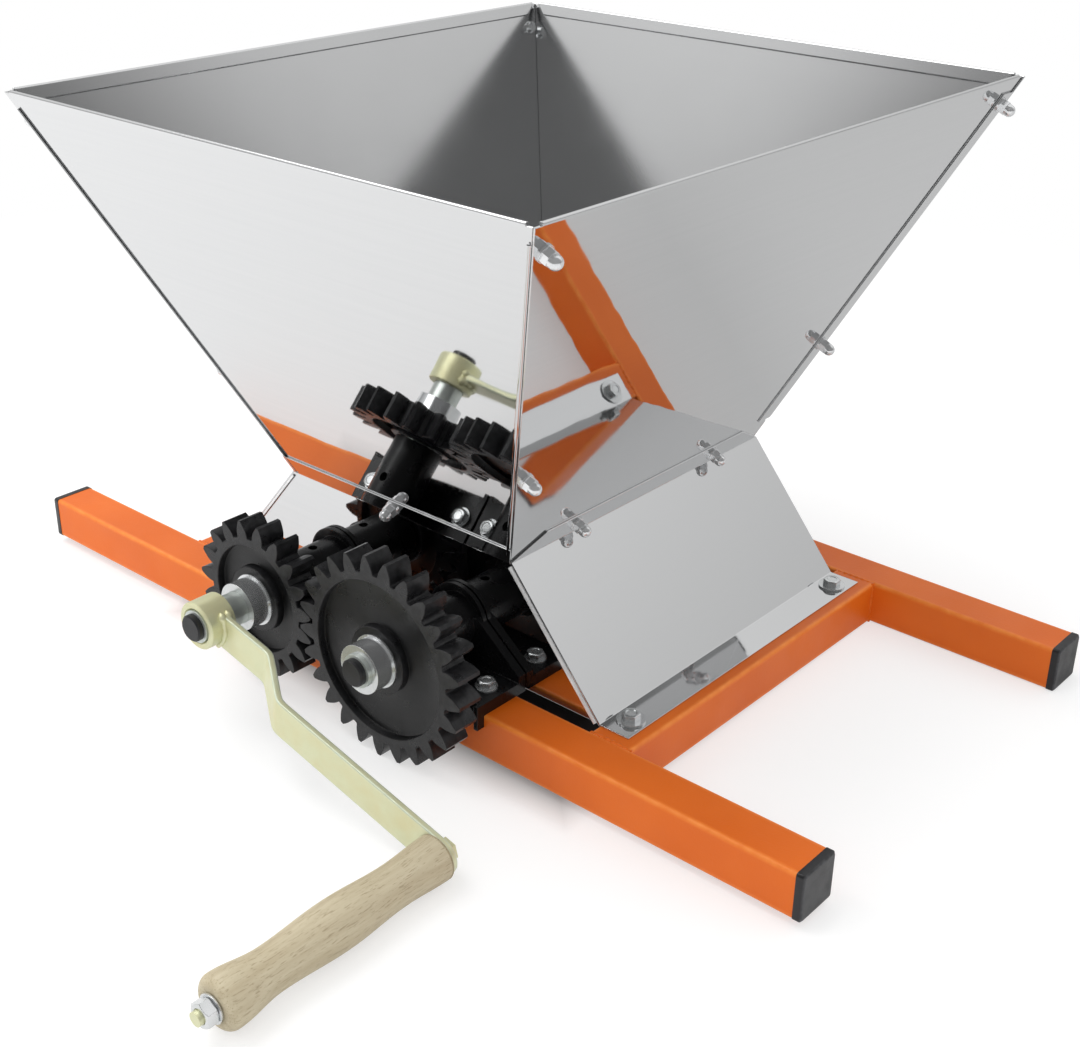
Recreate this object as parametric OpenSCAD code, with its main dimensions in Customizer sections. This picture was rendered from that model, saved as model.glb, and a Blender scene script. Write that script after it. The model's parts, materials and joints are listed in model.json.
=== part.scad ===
// Hand cranked grape crusher. A folded steel hopper feeds two geared rollers in a steel housing,
// which stands on a frame of square tube. Millimetres, +Z up, +X along the beams, crank at -Y.
// The origin is on the underside of the front beam, at the middle of its length.

/* [Frame] */
// Side of the square tube
tube = 30; // [25:1:36]
// Wall of the square tube
tube_wall = 2; // [1.5:0.1:3]
// Outer corner radius of the square tube
tube_round = 2; // [1.5:0.1:4]
// Length of each long beam
beam_len = 654; // [560:1:900]
// Gap between each beam and the housing
beam_gap = 7.3; // [6.8:0.1:20]
// Thickness of an end cap's head
cap_head = 4.5; // [3:0.1:8]
// Depth of an end cap's plug
cap_plug = 14; // [8:1:25]
// Side of the raised square on an end cap
cap_panel = 21; // [12:0.5:23]
// Height of the raised square on an end cap
cap_raise = 0.8; // [0.4:0.1:2]

/* [Sheet steel] */
// Thickness of every sheet panel
sheet = 1; // [0.8:0.1:1.6]
// Gap between sheets that lie on each other
sheet_gap = 0.1; // [0.05:0.05:0.3]

/* [Housing] */
// Height of the housing above the tubes
housing_h = 83; // [76:1:110]
// Length of the housing at its foot, along the beams
foot_l = 332.4; // [300:0.1:400]
// Width of each foot flange
foot_flange = 22; // [20:0.5:28]
// Slant height of the end lips that hold the hopper
end_lip = 15; // [12:0.5:22]
// Slant height of the front and rear lips that hold the hopper
side_lip = 13; // [12:0.5:22]
// Length of the sloped cut at each corner of an end lip
lip_cut = 26; // [16:1:40]
// Width of the folded edges of the front and rear plates
plate_flange = 12; // [8:1:20]
// Gap between the front and rear plates and the top of the beams
skirt_gap = 1.5; // [1:0.1:5]
// Distance of the foot bolts from the middle, across the beams
foot_bolt_y = 111.2; // [90:0.1:114]
// Distance of the end lip screws from the middle
lip_screw_y = 71; // [40:1:90]

/* [Hopper] */
// Length of the rim, along the beams
rim_l = 413; // [340:1:500]
// Width of the rim, across the beams
rim_w = 473; // [400:1:560]
// Height of the hopper
hopper_h = 247.6; // [200:0.1:320]
// Length of the hopper's foot
throat_l = 191; // [184:0.2:230]
// Width of the hopper's foot
throat_w = 253.2; // [240:0.2:300]
// Depth of the folded hem round the rim
hem = 9; // [6:0.5:12]
// Gap inside the fold of the hem
hem_fold = 0.6; // [0.3:0.1:1]
// Distance from a hopper corner to the end of a hem
hem_trim = 6; // [5:0.5:12]
// Width of the corner flanges
corner_flange = 14; // [13:0.5:20]
// Distance of the corner screws from the corner
corner_screw_edge = 8; // [7.5:0.5:8.5]
// Height of the lower corner screws above the hopper's foot
low_screw_h = 71; // [40:1:120]
// Depth of the upper corner screws below the rim
high_screw_drop = 17; // [16:0.5:60]

/* [Gears] */
// Tooth module of both gears
gear_module = 5; // [4.6:0.1:5.4]
// Teeth of the drive gear
drive_teeth = 19; // [18:1:22]
// Teeth of the driven gear
driven_teeth = 25; // [23:1:28]
// Pressure angle of the teeth
pressure_angle = 25; // [18:1:25]
// Play between meshed teeth along the pitch circle
backlash = 0.5; // [0.3:0.05:1]
// Face width of the gears
gear_w = 18; // [12:1:24]
// Thickness of the web between a gear's rim and hub
gear_web = 7; // [4:0.5:10]
// Thickness of a gear's rim under its teeth
gear_rim = 5.2; // [4:0.1:8]
// Diameter of a gear's hub
hub_d = 43.4; // [38:0.1:50]
// Angle from the line of centres to the nearest tooth of the driven gear
mesh_turn = 2.5; // [-7:0.1:7]
// Gap between a gear and its bearing
gear_gap = 1; // [0.5:0.1:5]
// Outer diameter of the steel collars in the gears
collar_d = 31.2; // [29:0.1:35]
// Length of a collar in front of its gear
collar_reach = 13.8; // [11:0.1:20]
// Diameter of the shoulder that holds a collar against its gear
shoulder_d = 34; // [33:0.1:38]
// Thickness of that shoulder
shoulder_t = 1.2; // [0.8:0.1:2]

/* [Shafts and rollers] */
// Outer diameter of the tube that each shaft is made of
shaft_d = 21.3; // [20:0.1:23]
// Wall of the shaft tube
shaft_wall = 2.6; // [2:0.1:3.5]
// Height of the shafts above the tubes
shaft_rise = 31.7; // [31:0.1:36]
// Length of shaft that stands out of a rear bearing
rear_reach = 2; // [1:0.5:10]
// Length of shaft that stands out of the driven gear's collar
driven_reach = 2.5; // [1:0.5:10]
// Diameter of a shaft plug's head
plug_d = 17.4; // [16.8:0.1:20]
// Height of a shaft plug's head
plug_head = 4; // [2:0.5:8]
// Depth of a shaft plug's stem
plug_depth = 12; // [6:1:25]
// Gap between the two rollers
roller_gap = 9; // [5:0.5:20]
// Gap between the ends of a roller and the housing
roller_end_gap = 3; // [1.5:0.1:8]
// Ribs round each roller
roller_ribs = 8; // [6:1:10]
// Radius of a roller rib
rib_r = 8; // [6:0.5:9]
// Wall of a roller, thicker than a rib's radius
roller_wall = 10; // [9.5:0.5:13]
// Thickness of the spokes between a roller's hub and wall
roller_spoke = 5; // [4:0.5:8]
// Outer diameter of the hub inside a roller
roller_hub_d = 33; // [30:0.5:38]
// Diameter of the cross pins that hold a roller
pin_d = 6; // [4:0.5:8]
// Distance of the cross pins from the ends of a roller
pin_inset = 14; // [8:1:40]

/* [Bearings] */
// Radial clearance of the shafts in their bearings
run_clear = 0.08; // [0.02:0.01:0.1]
// Gap between the two bearings on a beam
bearing_gap = 2; // [1:0.5:10]
// Thickness of a bearing's base
base_t = 8; // [5:0.5:12]
// Gap between a bearing and the housing
web_gap = 0.5; // [0.3:0.1:2]
// Thickness of a bearing's web
web_t = 6; // [4:0.5:6.5]
// Height of the web above the beam
web_h = 39; // [34:0.5:40]
// Half the width of the web's top
web_top_half = 19; // [18:0.5:21]
// Height of the eased corners of the web
web_ease = 1.8; // [1:0.1:3]
// Height of the ends of the web
web_end_h = 12.4; // [9:0.1:20]
// Radius of the dished ring round the nose
ring_r = 23.2; // [21:0.1:26]
// Thickness of that ring
ring_t = 3; // [2:0.1:4]
// Width of the ring's rim
ring_rim = 0.8; // [0.5:0.1:1.5]
// Depth of the dish inside the rim
ring_dish = 1.8; // [1:0.1:1.9]
// Length of a bearing, with its nose
bearing_len = 52.5; // [48:0.5:60]
// Outer diameter of a bearing's nose
nose_d = 35; // [32:0.1:38]
// Thickness of the rib under the nose
nose_rib = 6; // [4:0.5:10]
// Thickness of the skirt in front of the beam
skirt_t = 3; // [2:0.1:5]
// Depth of the skirt below the top of the beam
skirt_drop = 5; // [3:0.5:12]
// Depth of the end ribs of the skirt below the top of the beam
skirt_rib_drop = 8; // [4:0.5:14]
// Reach of the end ribs in front of the skirt
skirt_rib_reach = 3; // [2:0.5:5]
// Diameter of the oil hole
oil_d = 6; // [3:0.5:7]
// Distance of the oil hole from the front of the nose
oil_back = 30.7; // [10:0.1:34]
// Distance of the bearing bolts from the ends of the base
bearing_bolt_edge = 12; // [10:0.5:16]

/* [Crank] */
// Gap between the drive gear's collar and the crank's boss
crank_gap = 12.9; // [8:0.1:20]
// Outer diameter of the crank's boss
crank_boss_d = 31; // [29:0.5:36]
// Length of the crank's boss
crank_boss_len = 19; // [16:0.5:28]
// Length of shaft that stands out of the crank's boss
crank_reach = 0.8; // [0.4:0.1:4]
// Angle of the crank at rest, up from +X
crank_angle = -14; // [-16:1:90]
// Distance from the shaft to the handle
throw = 222; // [180:1:260]
// Width of the crank arm
arm_w = 24; // [20:0.5:28]
// Thickness of the crank arm
arm_t = 4; // [3:0.5:6]
// Distance of the arm from the front of the boss
arm_inset = 9.4; // [6:0.1:10]
// Step of the arm away from the gears
arm_step = 22.5; // [12:0.5:40]
// Distance from the shaft to the start of the step
step_start = 54; // [40:1:70]
// Distance from the shaft to the end of the step
step_end = 88; // [75:1:110]

/* [Handle] */
// Length of the wooden grip
grip_len = 151; // [120:1:180]
// Radius of the grip at its inner end
grip_inner_r = 13.8; // [12:0.1:16]
// Radius of the grip's two waists
grip_waist_r = 12.4; // [10:0.1:14]
// Radius of the grip's swell
grip_swell_r = 14.3; // [12:0.1:17]
// Radius of the grip's outer flare
grip_flare_r = 15.4; // [13:0.1:18]
// Radius of the flat outer end of the grip
grip_end_r = 9.6; // [9:0.1:12]
// Place of the grip's inner waist, as a share of its length
grip_inner_waist = 0.21; // [0.15:0.01:0.3]
// Place of the grip's swell, as a share of its length
grip_swell = 0.48; // [0.42:0.01:0.55]
// Place of the grip's outer waist, as a share of its length
grip_outer_waist = 0.77; // [0.7:0.01:0.82]
// End play of the grip at each end
grip_play = 0.6; // [0.3:0.1:2]

/* [Fasteners] */
// Diameter of the hopper screws
screw_d = 5; // [4:0.5:5]
// Height of a hopper screw's head
screw_head_h = 3; // [2:0.1:4]
// Diameter of a hopper screw's head
screw_head_d = 9.5; // [8:0.1:10.5]
// Width across the flats of the cap nuts
cap_nut_af = 8; // [8:0.5:9]
// Height of the hexagon of a cap nut
cap_nut_h = 4; // [3:0.1:6]
// Diameter of the washers under the cap nuts
screw_washer_d = 10; // [9:0.1:11]
// Diameter of the bolts into the tubes
bolt_d = 6; // [5:0.5:6.5]
// Width across the flats of those bolts' heads
bolt_af = 10; // [9:0.5:11]
// Height of those bolts' heads
bolt_head_h = 4; // [3:0.5:6]
// Length of those bolts below what they hold
bolt_reach = 14; // [8:1:20]
// Diameter of the washers on the housing's feet
foot_washer_d = 18; // [15:0.5:19]
// Diameter of the washers on the bearings
bearing_washer_d = 14; // [12:0.5:15]
// Thickness of the washers
washer_t = 1.2; // [0.8:0.1:2]
// Diameter of the set screws
set_screw_d = 6; // [4:0.5:8]
// Width across the flats of the set screws' sockets
set_socket_af = 3; // [2:0.5:3]
// Depth of the set screws' sockets
set_socket_depth = 2.5; // [1.5:0.5:3]
// Diameter of the handle bolt
handle_bolt_d = 8; // [6:0.5:9]
// Width across the flats of the handle bolt's head and nut
handle_nut_af = 13; // [12:0.5:16]
// Height of the handle bolt's head
handle_head_h = 5.3; // [4:0.1:8]
// Height of the handle nut
handle_nut_h = 6.8; // [5:0.1:10]
// Diameter of the handle washer
handle_washer_d = 16.5; // [15:0.5:20]
// Length of the handle bolt that stands out of its nut
handle_bolt_reach = 2.5; // [1:0.5:6]
// Clearance of bolts and pins in their holes
bolt_clear = 0.15; // [0.05:0.05:0.3]
// Clearance of pieces that are pressed, welded or screwed together
fit_clear = 0.04; // [0.02:0.01:0.08]

/* [Hidden] */
$fn = 64;
// Extra length of every cut, so that it passes right through
cut = 1;

// Hopper planes
foot_z = tube + housing_h;
slope_x = atan((rim_l - throat_l) / 2 / hopper_h);
slope_y = atan((rim_w - throat_w) / 2 / hopper_h);
slant_x = hopper_h / cos(slope_x);
slant_y = hopper_h / cos(slope_y);
layer = sheet + sheet_gap;
fold_r = sheet + hem_fold / 2;
strip_low = max(end_lip, side_lip) + 2 * sheet;

// Housing planes: the inner face of the end plates, and the outer face of the front plate
plate_l = throat_l / 2 + sheet_gap / cos(slope_x);
plate_w = throat_w / 2 + sheet_gap / cos(slope_y);
plate_face = plate_w + sheet;
plate_slope = atan((foot_l / 2 - plate_l) / housing_h);

// Frame
frame_inner = plate_face + beam_gap;
beam_y = frame_inner + tube / 2;
frame_outer = frame_inner + tube;
cross_x = foot_l / 2 + tube / 2;
foot_bolt_x = foot_l / 2 + foot_flange / 2;

// Shafts and gears; places along a shaft are distances in front of the middle
shaft_x = gear_module * (drive_teeth + driven_teeth) / 4;
shaft_z = tube + shaft_rise;
shaft_r = shaft_d / 2;
web_back = plate_face + web_gap;
nose_end = web_back + bearing_len;
gear_back = nose_end + gear_gap;
gear_front = gear_back + gear_w;
collar_front = gear_front + collar_reach;
crank_back = collar_front + crank_gap;
crank_front = crank_back + crank_boss_len;
drive_end = crank_front + crank_reach;
driven_end = collar_front + driven_reach;
rear_end = nose_end + rear_reach;
roller_half = plate_w - roller_end_gap;
roller_r = shaft_x - roller_gap / 2;

// Bearings
base_half = shaft_x - bearing_gap / 2;
bearing_bolt_x = base_half - bearing_bolt_edge;
bearing_bolts_x = [for (side = [-1, 1]) for (end = [-1, 1]) side * shaft_x + end * bearing_bolt_x];

// Crank
arm_near = crank_front - arm_inset;
arm_far = arm_near + arm_step;
grip_back = arm_far + grip_play;
grip_front = grip_back + grip_len;
washer_back = grip_front + grip_play;
nut_back = washer_back + washer_t;
bolt_end = nut_back + handle_nut_h + handle_bolt_reach;

// Colours
orange = [0.85, 0.38, 0.08];
steel = [0.78, 0.79, 0.8];
zinc = [0.72, 0.73, 0.72];
passivated = [0.78, 0.75, 0.5];
black = [0.1, 0.1, 0.11];
beech = [0.85, 0.68, 0.48];

// Moves the frame's middle away from the origin, which lies under the front beam
module placed() {
    translate([0, beam_y, 0])
        children();
}

// Left normal of the line from a to b
function normal(a, b) = [a.y - b.y, b.x - a.x] / norm(b - a);

// Shift of a corner between two lines with normals m and n, for one unit of thickness
function mitre(m, n) = (m + n) / (1 + m * n);

// Outline of a strip of thickness t on the left of the path p
function strip_outline(p, t) =
    let (last = len(p) - 1)
    let (n = [for (i = [0:last - 1]) normal(p[i], p[i + 1])])
    concat(p, [for (i = [last:-1:0])
        p[i] + t * (i == 0 ? n[0] : i == last ? n[last - 1] : mitre(n[i - 1], n[i]))]);

// Corner radius of a regular hexagon from its width across the flats
function hex_r(af) = af / 2 / cos(30);

module mirrored_x(side) {
    mirror([side < 0 ? 1 : 0, 0, 0])
        children();
}

module mirrored_y(side) {
    mirror([0, side > 0 ? 1 : 0, 0])
        children();
}

// Stands children on a shaft: local +Z points to the crank, local Z = 0 lies y in front of the middle
module along_shaft(x, y) {
    translate([x, -y, shaft_z])
        rotate([90, 0, 0])
            children();
}

// Flat bar drawn in X and Z, between two distances in front of the middle
module across(from, to) {
    translate([0, -from, 0])
        rotate([90, 0, 0])
            linear_extrude(to - from)
                children();
}

module pipe(outer_r, inner_r, h) {
    difference() {
        cylinder(h = h, r = outer_r);
        translate([0, 0, -cut])
            cylinder(h = h + 2 * cut, r = inner_r);
    }
}

module rounded_square(side, r) {
    square([side - 2 * r, side], center = true);
    square([side, side - 2 * r], center = true);
    for (x = [-1, 1], y = [-1, 1])
        translate([x, y] * (side / 2 - r))
            circle(r);
}

module tube_section() {
    difference() {
        rounded_square(tube, tube_round);
        rounded_square(tube - 2 * tube_wall, max(tube_round - tube_wall, sheet));
    }
}

// Hole for a bolt in the top wall of a tube
module tube_hole(x, y) {
    translate([x, y, tube - tube_wall - cut])
        cylinder(h = tube_wall + 2 * cut, r = bolt_d / 2 + bolt_clear);
}

// Frame
module beam(side) {
    difference() {
        translate([0, side * beam_y, tube / 2])
            rotate([0, 90, 0])
                linear_extrude(beam_len, center = true)
                    tube_section();
        for (x = bearing_bolts_x)
            tube_hole(x, side * beam_y);
    }
}

module front_beam() {
    color(orange)
        placed()
            beam(-1);
}

module rear_beam() {
    color(orange)
        placed()
            beam(1);
}

module cross_tube(side) {
    difference() {
        translate([side * cross_x, 0, tube / 2])
            rotate([90, 0, 0])
                linear_extrude(2 * (frame_inner - fit_clear), center = true)
                    tube_section();
        for (y = [-1, 1])
            tube_hole(side * foot_bolt_x, y * foot_bolt_y);
    }
}

module left_cross_tube() {
    color(orange)
        placed()
            cross_tube(-1);
}

module right_cross_tube() {
    color(orange)
        placed()
            cross_tube(1);
}

module end_cap() {
    plug = tube - 2 * tube_wall - 2 * fit_clear;
    rotate([0, 90, 0]) {
        linear_extrude(cap_head)
            rounded_square(tube, tube_round);
        linear_extrude(cap_head + cap_raise)
            rounded_square(cap_panel, tube_round);
        translate([0, 0, -cap_plug])
            linear_extrude(cap_plug)
                rounded_square(plug, max(tube_round - tube_wall, sheet));
    }
}

module beam_end_caps() {
    color(black)
        placed()
            for (side = [-1, 1], end = [-1, 1])
                mirrored_x(end)
                    translate([beam_len / 2, side * beam_y, tube / 2])
                        end_cap();
}

// Housing
// Inner face of an end plate at height z
function end_plate_x(z) = plate_l + (foot_z - z) * tan(plate_slope);

module end_plate(side) {
    lip_top = [plate_l + end_lip * sin(slope_x), foot_z + end_lip * cos(slope_x)];
    path = [lip_top, [plate_l, foot_z], [foot_l / 2, tube], [foot_l / 2 + foot_flange, tube]];
    high = foot_z + end_lip + cut;
    top_half = plate_face - lip_cut * (high - foot_z) / (end_lip * cos(slope_x));
    mirrored_x(side)
        difference() {
            intersection() {
                across(-plate_face, plate_face)
                    polygon(strip_outline(path, sheet));
                rotate([90, 0, 90])
                    linear_extrude(foot_l)
                        polygon([
                            [-plate_face, 0], [plate_face, 0], [plate_face, foot_z],
                            [top_half, high], [-top_half, high], [-plate_face, foot_z]
                        ]);
            }
            for (y = [-1, 1]) {
                on_end_panel()
                    translate([0, y * lip_screw_y, end_lip / 2])
                        screw_hole();
                translate([foot_bolt_x, y * foot_bolt_y, tube - cut])
                    cylinder(h = sheet + 2 * cut, r = bolt_d / 2 + bolt_clear);
            }
        }
}

module housing_left_plate() {
    color(steel)
        placed()
            end_plate(-1);
}

module housing_right_plate() {
    color(steel)
        placed()
            end_plate(1);
}

module side_plate(side) {
    low = tube + skirt_gap;
    lip_h = side_lip * cos(slope_y);
    high = foot_z + lip_h + cut;
    lip_gap = 2 * sheet_gap;
    lip_half = throat_l / 2 + (high - foot_z) * tan(slope_x) - lip_gap;
    flange_t = sheet / cos(plate_slope);
    path = [[-plate_w, low], [-plate_w, foot_z], [-plate_w - side_lip * sin(slope_y), foot_z + lip_h]];
    mirrored_y(side)
        difference() {
            union() {
                intersection() {
                    rotate([90, 0, 90])
                        linear_extrude(2 * foot_l, center = true)
                            polygon(strip_outline(path, sheet));
                    across(0, frame_outer)
                        polygon([
                            [-end_plate_x(low) + lip_gap, low], [end_plate_x(low) - lip_gap, low],
                            [plate_l - lip_gap, foot_z], [lip_half, high],
                            [-lip_half, high], [-plate_l + lip_gap, foot_z]
                        ]);
                }
                for (end = [-1, 1])
                    mirrored_x(end)
                        across(plate_face - plate_flange, plate_face)
                            polygon([
                                [end_plate_x(low) - lip_gap - flange_t, low],
                                [end_plate_x(low) - lip_gap, low],
                                [plate_l - lip_gap, foot_z],
                                [plate_l - lip_gap - flange_t, foot_z]
                            ]);
            }
            for (x = [-1, 1])
                along_shaft(x * shaft_x, 0)
                    cylinder(h = frame_outer, r = shaft_r + cut);
            on_side_panel()
                translate([0, 0, side_lip / 2])
                    rotate([0, 0, -90])
                        screw_hole();
        }
}

module housing_front_plate() {
    color(steel)
        placed()
            side_plate(-1);
}

module housing_rear_plate() {
    color(steel)
        placed()
            side_plate(1);
}

module hex_bolt() {
    cylinder(h = bolt_head_h, r = hex_r(bolt_af), $fn = 6);
    translate([0, 0, -bolt_reach])
        cylinder(h = bolt_reach, r = bolt_d / 2);
}

module at_foot_bolts() {
    for (x = [-1, 1], y = [-1, 1])
        translate([x * foot_bolt_x, y * foot_bolt_y, tube + sheet])
            children();
}

module housing_foot_bolts() {
    color(zinc)
        placed()
            at_foot_bolts()
                translate([0, 0, washer_t])
                    hex_bolt();
}

module housing_foot_washers() {
    color(zinc)
        placed()
            at_foot_bolts()
                pipe(foot_washer_d / 2, bolt_d / 2 + bolt_clear, washer_t);
}

// Hopper. A panel is drawn upright with its outer face at zero and leans outwards from its foot.
// Right panel: local +X points out of the hopper and local +Z up the slope
module on_end_panel() {
    translate([throat_l / 2, 0, foot_z])
        rotate([0, slope_x, 0])
            children();
}

// Front panel: local -Y points out of the hopper and local +Z up the slope
module on_side_panel() {
    translate([0, -throat_w / 2, foot_z])
        rotate([slope_y, 0, 0])
            children();
}

// Half width of an end panel, and half length of a side panel, at a distance up the slope
function end_half(v) = throat_w / 2 + v * cos(slope_x) * tan(slope_y);
function side_half(v) = throat_l / 2 + v * cos(slope_y) * tan(slope_x);

// Sheet on an end panel's plane, drawn in Y and up the slope, with its outer face at depth
module end_sheet(depth) {
    translate([-depth - sheet, 0, 0])
        rotate([90, 0, 90])
            linear_extrude(sheet)
                children();
}

// Sheet on the front panel's plane, drawn in X and up the slope, with its outer face at depth
module side_sheet(depth) {
    translate([0, depth + sheet, 0])
        rotate([90, 0, 0])
            linear_extrude(sheet)
                children();
}

module screw_hole() {
    rotate([0, 90, 0])
        cylinder(h = 6 * layer, r = screw_d / 2 + bolt_clear, center = true);
}

// Outline of a hem with mitred ends, for a panel of slant height s and half width w at its rim
module hem_outline(s, w) {
    top = s - fold_r;
    low = s - hem;
    polygon([
        [-w + hem_trim, top], [-w + hem_trim + top - low, low],
        [w - hem_trim - top + low, low], [w - hem_trim, top]
    ]);
}

// Section of the fold between a panel and its hem, drawn with the outside on the right
module fold_outline() {
    difference() {
        circle(fold_r);
        circle(hem_fold / 2);
        translate([-2 * fold_r, -4 * fold_r])
            square(4 * fold_r);
    }
}

module end_hem() {
    rim_half = end_half(slant_x) - hem_trim;
    end_sheet(sheet + hem_fold)
        hem_outline(slant_x, end_half(slant_x));
    translate([-fold_r, rim_half, slant_x - fold_r])
        rotate([90, 0, 0])
            linear_extrude(2 * rim_half)
                fold_outline();
}

module side_hem() {
    rim_half = side_half(slant_y) - hem_trim;
    side_sheet(sheet + hem_fold)
        hem_outline(slant_y, side_half(slant_y));
    translate([-rim_half, fold_r, slant_y - fold_r])
        rotate([90, 0, 90])
            linear_extrude(2 * rim_half)
                fold_outline();
}

// Places of the corner screws up the slope of an end panel
screw_rows = [low_screw_h / cos(slope_x), slant_x - high_screw_drop / cos(slope_x)];

// Stands children at one end panel's corner screws, for the front corner (-1) or the rear one (1)
module at_corner_screws(corner) {
    for (v = screw_rows)
        translate([0, corner * (end_half(v) - corner_screw_edge), v])
            children();
}

module end_panel(side) {
    top = slant_x - fold_r;
    front_in = sheet_gap;
    rear_in = sheet / cos(slope_y) + 2 * sheet_gap;
    mirrored_x(side)
        on_end_panel()
            difference() {
                union() {
                    end_sheet(0)
                        polygon([
                            [-end_half(0) + front_in, 0], [end_half(0) - rear_in, 0],
                            [end_half(top) - rear_in, top], [-end_half(top) + front_in, top]
                        ]);
                    end_hem();
                }
                for (corner = [-1, 1])
                    at_corner_screws(corner)
                        screw_hole();
                for (y = [-1, 1])
                    translate([0, y * lip_screw_y, end_lip / 2])
                        screw_hole();
            }
}

module hopper_left_panel() {
    color(steel)
        placed()
            end_panel(-1);
}

module hopper_right_panel() {
    color(steel)
        placed()
            end_panel(1);
}

// Corner flange on an end panel's plane, towards the front corner (-1) or the rear one (1)
module flange_outline(corner) {
    top = slant_x - hem - 2 * sheet;
    edge = sheet / 3;
    polygon([
        [corner * (end_half(strip_low) - edge), strip_low],
        [corner * (end_half(top) - edge), top],
        [corner * (end_half(top) - corner_flange), top],
        [corner * (end_half(strip_low) - corner_flange), strip_low]
    ]);
}

// The front panel's flanges lie inside the end panels
module hopper_front_panel() {
    top = slant_y - fold_r;
    edge_in = sheet / cos(slope_x) + 2 * sheet_gap;
    color(steel)
        placed()
            difference() {
                union() {
                    on_side_panel() {
                        side_sheet(0)
                            polygon([
                                [-side_half(0) + edge_in, 0], [side_half(0) - edge_in, 0],
                                [side_half(top) - edge_in, top], [-side_half(top) + edge_in, top]
                            ]);
                        side_hem();
                    }
                    for (side = [-1, 1])
                        mirrored_x(side)
                            on_end_panel()
                                end_sheet(layer)
                                    flange_outline(-1);
                }
                corner_and_lip_holes(-1);
            }
}

// The rear panel's flanges lie outside the end panels
module hopper_rear_panel() {
    top = slant_y - fold_r;
    low = strip_low;
    edge_in = sheet / cos(slope_x) + 2 * sheet_gap;
    edge_out = layer / cos(slope_x);
    color(steel)
        placed()
            difference() {
                union() {
                    mirrored_y(1)
                        on_side_panel() {
                            side_sheet(0)
                                polygon([
                                    [-side_half(0) + edge_in, 0], [side_half(0) - edge_in, 0],
                                    [side_half(low) - edge_in, low], [side_half(low) + edge_out, low],
                                    [side_half(top) + edge_out, top], [-side_half(top) - edge_out, top],
                                    [-side_half(low) - edge_out, low], [-side_half(low) + edge_in, low]
                                ]);
                            side_hem();
                        }
                    for (side = [-1, 1])
                        mirrored_x(side)
                            on_end_panel()
                                end_sheet(-layer)
                                    flange_outline(1);
                }
                corner_and_lip_holes(1);
            }
}

// Holes of a front (-1) or rear (1) panel for its corner screws and its lip screw
module corner_and_lip_holes(corner) {
    for (side = [-1, 1])
        mirrored_x(side)
            on_end_panel()
                at_corner_screws(corner)
                    screw_hole();
    mirrored_y(corner)
        on_side_panel()
            translate([0, 0, side_lip / 2])
                rotate([0, 0, -90])
                    screw_hole();
}

// Screw, washer and cap nut along local +X, which points out of the hopper
module hopper_screw(inside, outside) {
    rotate([0, 90, 0]) {
        translate([0, 0, -inside - screw_head_h])
            cylinder(h = screw_head_h, r1 = screw_head_d / 2 - screw_head_h / 3, r2 = screw_head_d / 2);
        translate([0, 0, -inside])
            cylinder(h = inside + outside + washer_t + cap_nut_h, r = screw_d / 2);
    }
}

module hopper_washer(outside) {
    translate([outside, 0, 0])
        rotate([0, 90, 0])
            pipe(screw_washer_d / 2, screw_d / 2 + bolt_clear, washer_t);
}

module hopper_cap_nut(outside) {
    dome_r = cap_nut_af / 2 - sheet_gap;
    hole = cap_nut_h + fit_clear;
    translate([outside + washer_t, 0, 0])
        rotate([0, 90, 0])
            difference() {
                union() {
                    cylinder(h = cap_nut_h, r = hex_r(cap_nut_af), $fn = 6);
                    translate([0, 0, cap_nut_h])
                        cylinder(h = dome_r / 2, r = dome_r);
                    translate([0, 0, cap_nut_h + dome_r / 2])
                        sphere(dome_r);
                }
                translate([0, 0, -cut])
                    cylinder(h = hole + cut, r = screw_d / 2 + fit_clear);
            }
}

// Depth of the sheets behind a corner screw and height of those in front of it
front_stack = [layer + sheet, 0];
rear_stack = [sheet, layer];

module at_corners(corner) {
    placed()
        for (side = [-1, 1])
            mirrored_x(side)
                on_end_panel()
                    at_corner_screws(corner)
                        children();
}

module at_lips() {
    placed() {
        for (side = [-1, 1], y = [-1, 1])
            mirrored_x(side)
                on_end_panel()
                    translate([0, y * lip_screw_y, end_lip / 2])
                        children();
        for (side = [-1, 1])
            mirrored_y(side)
                on_side_panel()
                    translate([0, 0, side_lip / 2])
                        rotate([0, 0, -90])
                            children();
    }
}

module corner_screws() {
    color(zinc) {
        at_corners(-1)
            hopper_screw(front_stack[0], front_stack[1]);
        at_corners(1)
            hopper_screw(rear_stack[0], rear_stack[1]);
    }
}

module corner_washers() {
    color(zinc) {
        at_corners(-1)
            hopper_washer(front_stack[1]);
        at_corners(1)
            hopper_washer(rear_stack[1]);
    }
}

module corner_cap_nuts() {
    color(zinc) {
        at_corners(-1)
            hopper_cap_nut(front_stack[1]);
        at_corners(1)
            hopper_cap_nut(rear_stack[1]);
    }
}

module lip_screws() {
    color(zinc)
        at_lips()
            hopper_screw(sheet, layer);
}

module lip_washers() {
    color(zinc)
        at_lips()
            hopper_washer(layer);
}

module lip_cap_nuts() {
    color(zinc)
        at_lips()
            hopper_cap_nut(layer);
}

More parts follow.
